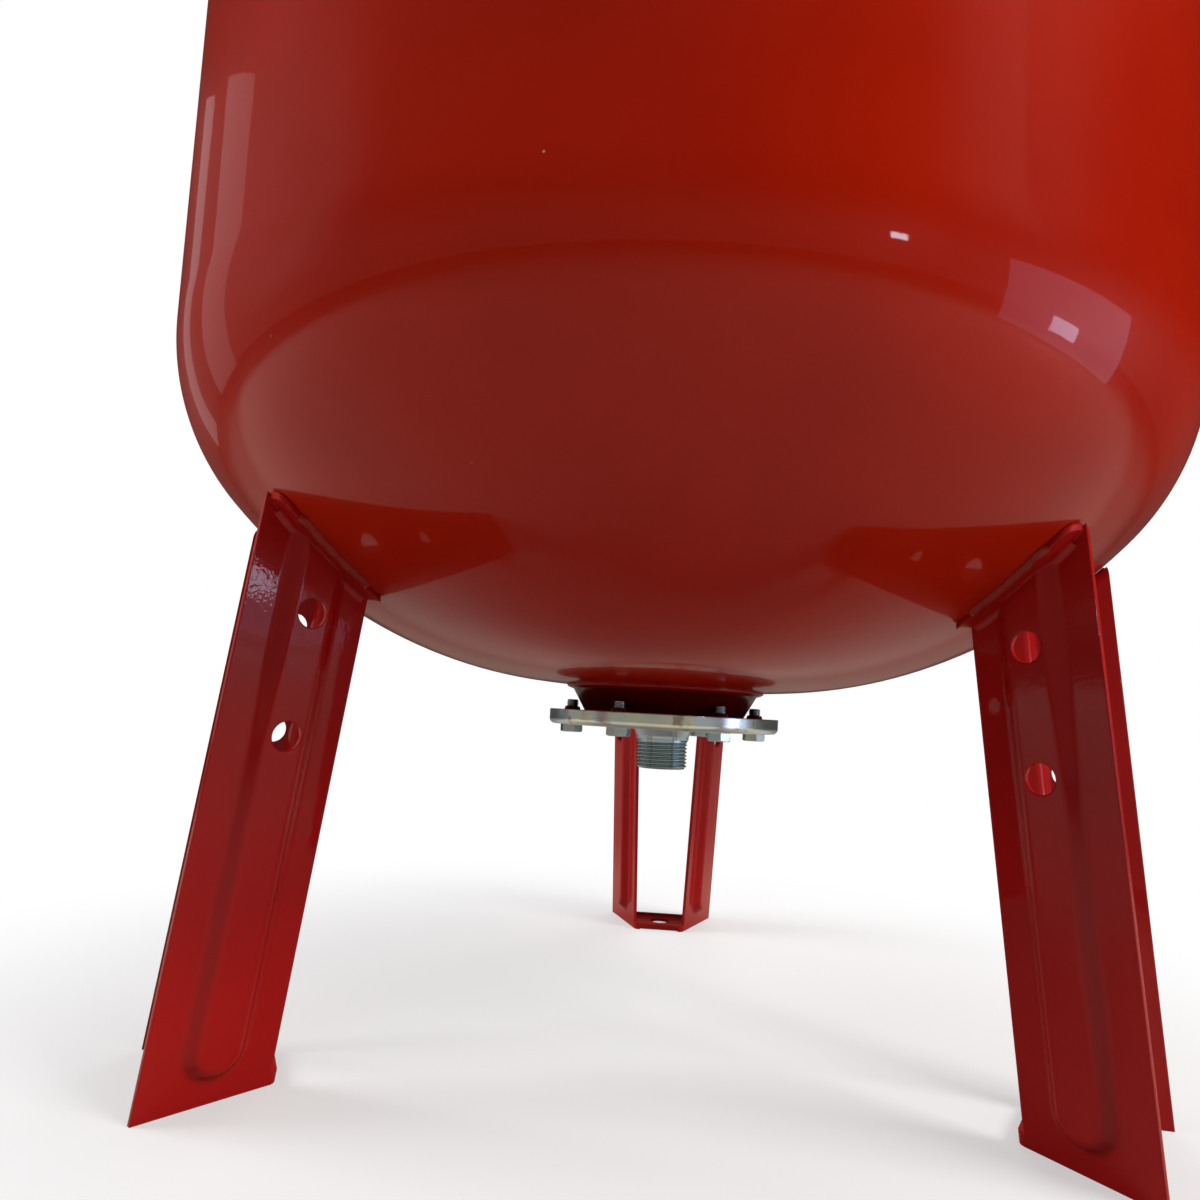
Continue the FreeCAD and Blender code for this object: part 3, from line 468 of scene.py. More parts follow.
@dataclass
class SurfaceEffects:
    """Node groups that the finishes share. All cells are counted to the metre.

    Attributes:
        peel_cells: Cells of a sprayed coat's fine peel.
        wave_cells: Cells of its long soft waves.
        lump_cells: Cells of its coarse lumps.
        lump_heights: Heights between which the lumps set in, in metres.
        speck_cells: Cells that may each hold a speck of dust.
        speck_rarity: Share of those cells that hold none.
        speck_radius: Radius of the largest speck, in cells.
        patch_cells: Cells of the patches where specks gather.
        bloom_cells: Cells of the dust's bloom.
        tint_cells: Cells of the zinc's tints.
        orange_peel: Height of a sprayed coat.
        dust: Sparse pale specks, and a thin bloom on faces that look up.
        zinc_flecks: Mottled blue-green and straw tints, and the haze, of thin bright zinc.
    """

    peel_cells: float = 420.0
    wave_cells: float = 26.0
    lump_cells: float = 520.0
    lump_heights: tuple[float, float] = (0.2, 0.25)
    speck_cells: float = 95.0
    speck_rarity: float = 0.9
    speck_radius: float = 0.07
    patch_cells: float = 5.0
    bloom_cells: float = 14.0
    tint_cells: float = 38.0
    orange_peel: bpy.types.NodeTree = field(init=False)
    dust: bpy.types.NodeTree = field(init=False)
    zinc_flecks: bpy.types.NodeTree = field(init=False)

    def __post_init__(self) -> None:
        """Builds each group once."""
        self.orange_peel = self._orange_peel()
        self.dust = self._dust()
        self.zinc_flecks = self._zinc_flecks()

    def _orange_peel(self) -> bpy.types.NodeTree:
        """Makes the height of a sprayed coat, with lumps up on the legs.

        Returns:
            The group, with a Height output.
        """
        defaults = {"Position": None, "Peel": 0.3, "Waves": 0.7, "Lumps": 0.0}
        graph, source, result = new_group("orange_peel", defaults, ["Height"])
        place = source.outputs["Position"]
        fine = graph.noise(place, self.peel_cells, detail=1.0)
        long = graph.noise(place, self.wave_cells)
        lumps = graph.noise(place, self.lump_cells, detail=1.0)
        up_the_leg = graph.range(graph.split(place)["Z"], *self.lump_heights)
        patch = graph.math("MULTIPLY", source.outputs["Lumps"], up_the_leg)
        fine = graph.math("MULTIPLY", fine, source.outputs["Peel"])
        long = graph.math("MULTIPLY", long, source.outputs["Waves"])
        lumps = graph.math("MULTIPLY", lumps, patch)
        total = graph.math("ADD", graph.math("ADD", fine, long), lumps)
        graph.join(result, {"Height": total})
        return graph.tree

    def _dust(self) -> bpy.types.NodeTree:
        """Makes specks of dust in patches, and a bloom on faces that look up.

        Returns:
            The group, with Specks and Bloom outputs.
        """
        defaults = {"Position": None, "Amount": 0.5}
        graph, source, result = new_group("dust", defaults, ["Specks", "Bloom"])
        place, amount = source.outputs["Position"], source.outputs["Amount"]
        cells = graph.add("ShaderNodeTexVoronoi", {"Vector": place, "Scale": self.speck_cells})
        tone = graph.add("ShaderNodeSeparateColor", {"Color": cells.outputs["Color"]})
        chosen = graph.math("GREATER_THAN", tone.outputs[0], self.speck_rarity)
        size = graph.math("MULTIPLY", tone.outputs[1], self.speck_radius)
        near = graph.math("LESS_THAN", cells.outputs["Distance"], size)
        patch = graph.range(graph.noise(place, self.patch_cells), 0.42, 0.62)
        specks = graph.math("MULTIPLY", graph.math("MULTIPLY", chosen, near), patch)
        specks = graph.math("MULTIPLY", specks, amount)
        normal = graph.add("ShaderNodeNewGeometry").outputs["Normal"]
        upward = graph.range(graph.split(normal)["Z"], 0.1, 1.0)
        cloud = graph.range(graph.noise(place, self.bloom_cells, detail=5.0), 0.35, 0.7)
        bloom = graph.math("MULTIPLY", upward, cloud)
        bloom = graph.math("MULTIPLY", bloom, amount)
        graph.join(result, {"Specks": specks, "Bloom": bloom})
        return graph.tree

    def _zinc_flecks(self) -> bpy.types.NodeTree:
        """Makes the tints and the haze of thin bright zinc.

        Returns:
            The group, with Tint and Haze outputs.
        """
        defaults = {"Position": None, "Scale": 120.0}
        graph, source, result = new_group("zinc_flecks", defaults, ["Tint", "Haze"])
        place = source.outputs["Position"]
        broad = graph.noise(place, self.tint_cells)
        fine = graph.noise(place, source.outputs["Scale"], rough=0.6)
        graph.join(result, {"Tint": graph.range(broad, 0.38, 0.62), "Haze": graph.range(fine, 0.3, 0.75)})
        return graph.tree


@dataclass(frozen=True)
class PaintFinish:
    """Glossy sprayed paint over sheet or weld.

    Attributes:
        name: Name of the material.
        colour: Colour of the clean paint.
        deep: Colour where the coat lies thicker.
        deep_cells: Cells of the thicker coat to the metre.
        roughness: Roughness of the pigment layer.
        gloss: Weight of the clear top of the coat.
        peel: Height of the orange peel, in millimetres.
        waves: Height of the long waves, in millimetres.
        lumps: Height of the coarse lumps near the legs' tops, in millimetres.
        dust: Amount of dust from 0 to 1.
        veil: Share of the dust's colour in its bloom.
        dulling: Roughness that the bloom adds.
        edge: Radius over which sheet edges are eased, in millimetres.
    """

    name: str
    colour: Colour
    deep: Colour
    deep_cells: float = 7.0
    roughness: float = 0.3
    gloss: float = 0.5
    peel: float = 0.004
    waves: float = 0.05
    lumps: float = 0.0
    dust: float = 0.4
    veil: float = 0.045
    dulling: float = 0.1
    edge: float = 0.0

    def make(self, effects: SurfaceEffects) -> bpy.types.Material:
        """Builds the material.

        Args:
            effects: The shared node groups.

        Returns:
            The material.
        """
        material, graph, place = new_material(self.name)
        peel = graph.effect(effects.orange_peel, place, Peel=self.peel, Waves=self.waves, Lumps=self.lumps)
        dust = graph.effect(effects.dust, place, Amount=self.dust)
        thick = graph.range(graph.noise(place, self.deep_cells), 0.35, 0.65)
        colour = graph.mix(thick, self.colour, self.deep)
        colour = graph.mix(graph.math("MULTIPLY", dust["Bloom"], self.veil), colour, DUST_ON_PAINT)
        colour = graph.mix(dust["Specks"], colour, DUST_SPECK)
        dulled = graph.math("MULTIPLY", dust["Bloom"], self.dulling)
        bump = graph.add("ShaderNodeBump", {"Height": peel["Height"], "Strength": 1.0, "Distance": MM})
        if self.edge:
            eased = graph.add("ShaderNodeBevel", {"Radius": self.edge * MM}, samples=6)
            graph.join(bump, {"Normal": eased.outputs["Normal"]})
        graph.surface(
            {
                "Base Color": colour,
                "Roughness": graph.math("ADD", dulled, self.roughness),
                "Normal": bump.outputs["Normal"],
                "Specular IOR Level": 0.06,
                "Coat Weight": self.gloss,
                "Coat Roughness": 0.03,
                "Coat IOR": 1.4,
                "Coat Normal": bump.outputs["Normal"],
            }
        )
        return material


class Marks(Enum):
    """How a zinc part was worked.

    Each value gives the cells of its marks, to the radian round the part and to the metre up it.
    """

    DRAWN = (9.0, 1100.0)
    TURNED = (0.6, 4200.0)
    FORGED = (0.0, 900.0)


@dataclass(frozen=True)
class ZincFinish:
    """Bright zinc plating over steel.

    Attributes:
        name: Name of the material.
        cool: Colour of the blue-green areas.
        warm: Colour of the straw areas.
        roughness: Roughness of the clean plating.
        marks: How the steel was worked.
        relief: Depth of the working marks in millimetres.
        ease: Radius over which edges are eased, in millimetres.
        overspray: Strength of stray red paint on the zinc, from 0 to 1.
        stray_cells: Cells of the stray paint to the metre.
        crest: Radius of a thread's crests in millimetres, or 0 for no thread.
        groove: Depths under the crests between which the painted shade in a thread's roots deepens, in
            millimetres.
        root_shade: Share of the painted shade's dark colour in the roots.
        haze_cells: Cells of the plating's haze to the metre.
        haze: Share of the haze's darker tone.
        haze_tone: Brightness of that tone beside the plating's.
        haze_rough: Roughness that the haze adds.
        dust: Amount of dust from 0 to 1.
        veil: Share of the dust's colour in its bloom.
    """

    name: str
    cool: Colour
    warm: Colour
    roughness: float
    marks: Marks
    relief: float = 0.012
    ease: float = 0.4
    overspray: float = 0.0
    stray_cells: float = 75.0
    crest: float = 0.0
    groove: tuple[float, float] = (0.25, 1.1)
    root_shade: float = 0.32
    haze_cells: float = 260.0
    haze: float = 0.1
    haze_tone: float = 0.55
    haze_rough: float = 0.06
    dust: float = 0.5
    veil: float = 0.3

    def make(self, effects: SurfaceEffects) -> bpy.types.Material:
        """Builds the material.

        Args:
            effects: The shared node groups.

        Returns:
            The material.
        """
        material, graph, place = new_material(self.name)
        flecks = graph.effect(effects.zinc_flecks, place, Scale=self.haze_cells)
        dust = graph.effect(effects.dust, place, Amount=self.dust)
        colour = graph.mix(flecks["Tint"], self.cool, self.warm)
        dark = tuple(self.haze_tone * value for value in self.cool)
        colour = graph.mix(graph.math("MULTIPLY", flecks["Haze"], self.haze), colour, dark)
        colour = graph.mix(graph.math("MULTIPLY", dust["Bloom"], self.veil), colour, DUST_ON_ZINC)
        if self.overspray:
            stray = graph.range(graph.noise(place, self.stray_cells), 0.6, 0.7, 0.0, self.overspray)
            colour = graph.mix(stray, colour, STRAY_PAINT)
        # Painted shade: the colour darkens towards the thread's roots, by distance from the axis.
        if self.crest:
            level = graph.add("ShaderNodeVectorMath", {0: place, 1: (1.0, 1.0, 0.0)}, operation="MULTIPLY")
            high, low = ((self.crest - depth) * MM for depth in self.groove)
            shaded_root = graph.range(graph.length(level.outputs["Vector"]), low, high, self.root_shade, 0.0)
            colour = graph.mix(shaded_root, colour, THREAD_ROOT_SHADE)
        rough = {0: flecks["Haze"], 1: self.haze_rough, 2: self.roughness}
        eased = graph.add("ShaderNodeBevel", {"Radius": self.ease * MM}, samples=8)
        bump = graph.add(
            "ShaderNodeBump",
            {
                "Height": self._marks_height(graph, place),
                "Strength": 1.0,
                "Distance": self.relief * MM,
                "Normal": eased.outputs["Normal"],
            },
        )
        graph.surface(
            {
                "Base Color": colour,
                "Roughness": graph.add("ShaderNodeMath", rough, operation="MULTIPLY_ADD").outputs[0],
                "Metallic": 1.0,
                "Normal": bump.outputs["Normal"],
            }
        )
        return material

    def _marks_height(self, graph: NodeGraph, place: bpy.types.NodeSocket) -> bpy.types.NodeSocket:
        """Adds the working marks' height.

        Args:
            graph: The material's graph.
            place: Socket of the position.

        Returns:
            The height's socket.
        """
        around, up = self.marks.value
        if self.marks is Marks.FORGED:
            return graph.noise(place, up, rough=0.6)
        axes = graph.split(place)
        angle = graph.math("ARCTAN2", axes["Y"], axes["X"])
        vector = graph.add(
            "ShaderNodeCombineXYZ",
            {"X": graph.math("MULTIPLY", angle, around), "Y": graph.math("MULTIPLY", axes["Z"], up)},
        )
        return graph.noise(vector.outputs["Vector"], 1.0, rough=0.65)


@dataclass(frozen=True)
class PlainFinish:
    """A rubber, plastic or brass surface with a fine grain.

    Attributes:
        name: Name of the material.
        colour: Base colour.
        worn: Colour of lighter, handled areas.
        roughness: Mean roughness.
        metallic: 1 for metal, 0 for the rest.
        grain: Grains to the metre.
        relief: Depth of the grain in millimetres.
        mottle: How far the roughness goes up and down with the grain.
        worn_cells: Cells of the handled areas to the metre.
        dust: Amount of dust from 0 to 1.
        veil: Share of the dust's colour in its bloom.
    """

    name: str
    colour: Colour
    worn: Colour
    roughness: float
    metallic: float = 0.0
    grain: float = 1400.0
    relief: float = 0.02
    mottle: float = 0.06
    worn_cells: float = 60.0
    dust: float = 0.4
    veil: float = 0.2

    def make(self, effects: SurfaceEffects) -> bpy.types.Material:
        """Builds the material.

        Args:
            effects: The shared node groups.

        Returns:
            The material.
        """
        material, graph, place = new_material(self.name)
        dust = graph.effect(effects.dust, place, Amount=self.dust)
        wear = graph.range(graph.noise(place, self.worn_cells, detail=4.0), 0.45, 0.75)
        colour = graph.mix(wear, self.colour, self.worn)
        colour = graph.mix(graph.math("MULTIPLY", dust["Bloom"], self.veil), colour, DUST_ON_PLASTIC)
        grain = graph.noise(place, self.grain, detail=2.0)
        smooth, coarse = self.roughness - self.mottle, self.roughness + self.mottle
        bump = graph.add("ShaderNodeBump", {"Height": grain, "Strength": 0.5, "Distance": self.relief * MM})
        graph.surface(
            {
                "Base Color": colour,
                "Roughness": graph.range(grain, 0.2, 0.8, smooth, coarse),
                "Metallic": self.metallic,
                "Normal": bump.outputs["Normal"],
            }
        )
        return material


@dataclass
class Palette:
    """Every finish of the tank, made once.

    Attributes:
        effects: The shared node groups.
        materials: The finished materials by the name of their slot.
    """

    effects: SurfaceEffects
    materials: dict[str, bpy.types.Material] = field(default_factory=dict)

    def mix(self) -> None:
        """Makes the materials."""
        finishes: list[PaintFinish | ZincFinish | PlainFinish] = [
            PaintFinish("shell_paint", srgb(178, 27, 0), srgb(168, 22, 0), waves=0.07, dust=0.5),
            PaintFinish(
                "leg_paint",
                srgb(172, 17, 15),
                srgb(158, 15, 16),
                peel=0.006,
                waves=0.09,
                lumps=0.045,
                edge=1.2,
            ),
            # neck_paint is the shell's red darkened: painted shade on the neck's cone, which lies in shadow
            # under the head.
            PaintFinish("neck_paint", srgb(84, 7, 0), srgb(70, 5, 0), peel=0.008, edge=0.5),
            PaintFinish("weld_paint", srgb(152, 17, 2), srgb(134, 14, 2), peel=0.012, waves=0.12),
            ZincFinish(
                "zinc_sheet",
                srgb(200, 220, 232),
                srgb(220, 228, 208),
                roughness=0.2,
                marks=Marks.DRAWN,
                relief=0.02,
                ease=1.3,
                overspray=0.55,
            ),
            ZincFinish(
                "zinc_bolt",
                srgb(174, 198, 210),
                srgb(185, 198, 194),
                roughness=0.2,
                marks=Marks.FORGED,
                ease=0.5,
            ),
            ZincFinish(
                "zinc_nipple",
                srgb(168, 198, 214),
                srgb(180, 200, 204),
                roughness=0.14,
                marks=Marks.TURNED,
                ease=0.15,
                crest=16.62,
            ),
            PlainFinish("bladder_rubber", srgb(26, 26, 27), srgb(40, 40, 41), roughness=0.7),
            PlainFinish("seal_rubber", srgb(22, 22, 23), srgb(38, 38, 39), roughness=0.6),
            PlainFinish(
                "valve_brass",
                srgb(214, 178, 102),
                srgb(196, 158, 88),
                roughness=0.28,
                metallic=1.0,
            ),
            PlainFinish("cap_plastic", srgb(24, 24, 26), srgb(44, 44, 46), roughness=0.42, relief=0.04),
        ]
        for finish in finishes:
            self.materials[finish.name] = finish.make(self.effects)

    def coat(self, piece: bpy.types.Object, slot: str) -> None:
        """Gives a piece the material of a slot as its only one.

        Args:
            piece: The object.
            slot: Name of the slot.
        """
        piece.data.materials.clear()
        piece.data.materials.append(self.materials[slot])

    def dress_nodes(self, frame: dict) -> None:
        """Gives each CAD node the material of its slot.
        """
        for entry in frame["record"]["subparts"]:
            self.coat(frame["nodes"][entry["node"]], entry["material_slot"])
            LOG.info("dressed %s as %s", entry["node"], entry["material_slot"])

    def dress_piece(self, piece: bpy.types.Object, slot: str, replaced: str) -> None:
        """Gives an added piece its material, and takes away the CAD node that it stands for.

        Args:
            piece: The piece.
            slot: Name of the slot.
            replaced: The CAD node that isn't shown.
        """
        self.coat(piece, slot)
        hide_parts(replaced)
        LOG.info("added %s as %s", piece.name, slot)


@dataclass
class DrawnHead:
    """Form of the tank's two heads: three arcs that run into each other.

    Attributes:
        radius: Outer radius of the tank.
        knuckle: Radius of the arc next to the straight side.
        knuckle_turn: How far that arc turns, in degrees.
        shoulder: Radius of the middle arc.
        crown: Radius of the nearly flat centre.
        clearance: Height of the lowest point above the floor.
        straight: Length of the straight side.
    """

    radius: float = 300.0
    knuckle: float = 114.0
    knuckle_turn: float = 42.3
    shoulder: float = 283.0
    crown: float = 1042.0
    clearance: float = 211.2
    straight: float = 480.0

    def arcs(self, outset: float = 0.0) -> list[tuple[float, float, float, float, float]]:
        """Centres, radii and angles of the three arcs.

        Args:
            outset: How far the curve is moved outwards.

        Returns:
            Centre radius, centre rise, arc radius, first and last angle of each arc.
        """
        turn = math.radians(self.knuckle_turn)
        first_centre = self.radius - self.knuckle
        step = self.shoulder - self.knuckle
        second_centre = first_centre - step * math.cos(turn)
        second_rise = step * math.sin(turn)
        last_step = self.crown - self.shoulder
        crown_angle = math.acos(second_centre / last_step)
        crown_rise = second_rise + last_step * math.sin(crown_angle)
        return [
            (first_centre, 0.0, self.knuckle + outset, 0.0, turn),
            (second_centre, second_rise, self.shoulder + outset, turn, crown_angle),
            (0.0, crown_rise, self.crown + outset, crown_angle, math.pi / 2),
        ]

    @property
    def depth(self) -> float:
        """Depth of a head from its tangent line."""
        crown = self.arcs()[2]
        return crown[2] - crown[1]

    @property
    def lower_tangent(self) -> float:
        """Height where the lower head meets the straight side."""
        return self.clearance + self.depth

    @property
    def upper_tangent(self) -> float:
        """Height where the straight side meets the upper head."""
        return self.lower_tangent + self.straight

    @property
    def girth(self) -> float:
        """Height of the weld between the halves."""
        return (self.lower_tangent + self.upper_tangent) / 2

    def profile(self, outset: float, end: float, steps: int) -> list[tuple[float, float]]:
        """Points of a head's curve as (radius, distance from the tangent line).

        Args:
            outset: How far the curve is moved outwards.
            end: Radius of the hole at the crown.
            steps: Points on each arc.

        Returns:
            The points from the straight side to the hole.
        """
        points: list[tuple[float, float]] = []
        for centre, rise, arc_radius, first, last in self.arcs(outset):
            if centre == 0.0:
                last = math.acos(end / arc_radius)
            for index in range(1 if points else 0, steps + 1):
                angle = first + (last - first) * index / steps
                points.append((centre + arc_radius * math.cos(angle), arc_radius * math.sin(angle) - rise))
        return points

    def height_at(self, reach: float) -> float:
        """Height of the lower head's outer face.

        Args:
            reach: Distance from the axis.

        Returns:
            Height above the floor.
        """
        for centre, rise, arc_radius, _, last in self.arcs():
            if centre == 0.0 or reach >= centre + arc_radius * math.cos(last):
                break
        return self.lower_tangent + rise - math.sqrt(arc_radius**2 - (reach - centre) ** 2)

    def normal_at(self, place: Vector) -> Vector:
        """Outward normal of the lower head near a point.

        Args:
            place: A point near the face.

        Returns:
            The unit normal.
        """
        reach = math.hypot(place.x, place.y)
        for centre, rise, _, _, last in self.arcs():
            across = reach - centre
            below = self.lower_tangent + rise - place.z
            if centre == 0.0 or math.atan2(below, across) <= last:
                break
        level = across / reach
        return Vector((place.x * level, place.y * level, -below)).normalized()


@dataclass
class TankShell:
    """Both halves of the tank and the weld between them.

    Attributes:
        head: Form of the heads.
        wall: Sheet thickness.
        neck_hole: Radius of the hole in the lower head.
        valve_hole: Radius of the hole in the upper head.
        segments: Faces round the tank.
        outer_steps: Faces along each arc outside.
        inner_steps: Faces along each arc inside.
        weld_gap: Gap between the halves.
        weld_width: Width of the girth weld.
        weld_crown: How far the girth weld stands out.
        weld_sink: How deep its edges lie in the sheet.
        weld_scales: Scales of the girth weld.
        scale_count: Number of them.
        weld_segments: Faces round the girth weld.
        weld_rows: Faces across it.
    """

    head: DrawnHead
    wall: float = 2.0
    neck_hole: float = 56.6
    valve_hole: float = 17.2
    segments: int = 360
    outer_steps: int = 26
    inner_steps: int = 12
    weld_gap: float = 1.5
    weld_width: float = 9.0
    weld_crown: float = 1.1
    weld_sink: float = 0.05
    weld_scales: WeldScales = WeldScales(body=0.86, rise=0.12, lag=1.1, seed=0.31)
    scale_count: float = 520.0
    weld_segments: int = 1440
    weld_rows: int = 12

    def dress(self, palette: Palette) -> None:
        """Builds the shell's pieces and paints them.

        Args:
            palette: The finishes.
        """
        palette.dress_piece(self.half("lower_shell_drawn", False), "shell_paint", "lower_shell")
        palette.dress_piece(self.half("upper_shell_drawn", True), "shell_paint", "upper_shell")
        palette.dress_piece(self.girth_weld(), "weld_paint", "girth_weld")

    def half(self, name: str, upper: bool) -> bpy.types.Object:
        """Builds one half with its inner face.

        Args:
            name: Name of the piece.
            upper: Whether it is the upper half.

        Returns:
            The object.
        """
        tangent = self.head.upper_tangent if upper else self.head.lower_tangent
        side = 1.0 if upper else -1.0
        hole = self.valve_hole if upper else self.neck_hole
        split = self.head.girth + side * self.weld_gap / 2
        outer = self.head.profile(0.0, hole, self.outer_steps)
        inner = self.head.profile(-self.wall, hole, self.inner_steps)
        outline = [(self.head.radius, split), (self.head.radius, (tangent + split) / 2)]
        outline += [(radius, tangent + side * drop) for radius, drop in outer + inner[::-1]]
        outline += [(self.head.radius - self.wall, split), (self.head.radius, split)]
        if not upper:
            outline.reverse()
        builder = MeshBuilder(name)
        builder.grid([ring(radius, height, self.segments) for radius, height in outline])
        return builder.build()

    def girth_weld(self) -> bpy.types.Object:
        """Builds the girth weld with its fine scales.

        Returns:
            The object.
        """
        builder = MeshBuilder("girth_weld_bead")
        rows = []
        half = self.weld_width / 2
        for index in range(self.weld_rows + 1):
            share = -1.0 + 2.0 * index / self.weld_rows
            height = self.head.girth + half * share
            wave = partial(self._girth_wave, share)
            rows.append(ring(self.head.radius - self.weld_sink, height, self.weld_segments, wave))
        inner = self.head.radius - self.wall
        for gap in (self.weld_gap, -self.weld_gap):
            rows.append(ring(inner, self.head.girth + gap / 2, self.weld_segments))
        rows.append(rows[0])
        builder.grid(rows)
        return builder.build(smooth_angle=60.0)

    def _girth_wave(self, share: float, angle: float) -> float:
        """How far the girth weld stands out.

        Args:
            share: Place across the weld, from -1 to 1.
            angle: Angle round the axis.

        Returns:
            The height over the weld's edge.
        """
        proud = self.weld_crown * math.sqrt(max(0.0, 1.0 - share * share))
        return proud * self.weld_scales.size(angle / TURN * self.scale_count, share * share)


@dataclass(frozen=True)
class ScrewThread:
    """A cut screw thread on a turned end.

    Attributes:
        major: Outer radius.
        pitch: Distance between turns.
        depth: Depth of the groove.
        low: Height of the lower end.
        high: Height of the upper end.
        chamfer: Chamfer at the free end.
        free_end_up: Whether the free end is at the top.
        around: Faces round the thread.
        rows_per_turn: Rows of faces to each turn of the thread.
        rounding: Share of a rounded flank in one that is otherwise straight.
        run_out: Distances from the fixed end between which the groove gets its depth, in turns.
    """

    major: float
    pitch: float
    depth: float
    low: float
    high: float
    chamfer: float
    free_end_up: bool = False
    around: int = 120
    rows_per_turn: int = 20
    rounding: float = 0.35
    run_out: tuple[float, float] = (0.2, 1.4)

    def radius_at(self, turn: float, height: float) -> float:
        """Radius of the thread's skin.

        Args:
            turn: Angle round the axis in turns.
            height: Height above the floor.

        Returns:
            The radius.
        """
        phase = (height / self.pitch - turn) % 1.0
        flank = abs(2.0 * phase - 1.0)
        rounded = smoothstep(0.06, 0.94, flank)
        straight = min(1.0, max(0.0, (flank - 0.12) / 0.76))
        groove = self.rounding * rounded + (1.0 - self.rounding) * straight
        free, fixed = (self.high, self.low) if self.free_end_up else (self.low, self.high)
        start, full = (turns * self.pitch for turns in self.run_out)
        radius = self.major - self.depth * groove * smoothstep(start, full, abs(height - fixed))
        return min(radius, self.major - self.chamfer + abs(height - free))

    def rows(self, centre: tuple[float, float] = (0.0, 0.0)) -> list[list[Point]]:
        """Rows of points from the low end to the high end.

        Args:
            centre: Where the thread's axis stands.

        Returns:
            The rows.
        """
        count = round((self.high - self.low) / self.pitch * self.rows_per_turn)
        rows = []
        for level in range(count + 1):
            height = self.low + (self.high - self.low) * level / count
            row = []
            for index in range(self.around):
                turn = index / self.around
                radius = self.radius_at(turn, height)
                x = centre[0] + radius * math.cos(TURN * turn)
                y = centre[1] + radius * math.sin(TURN * turn)
                row.append((x, y, height))
            rows.append(row)
        return rows


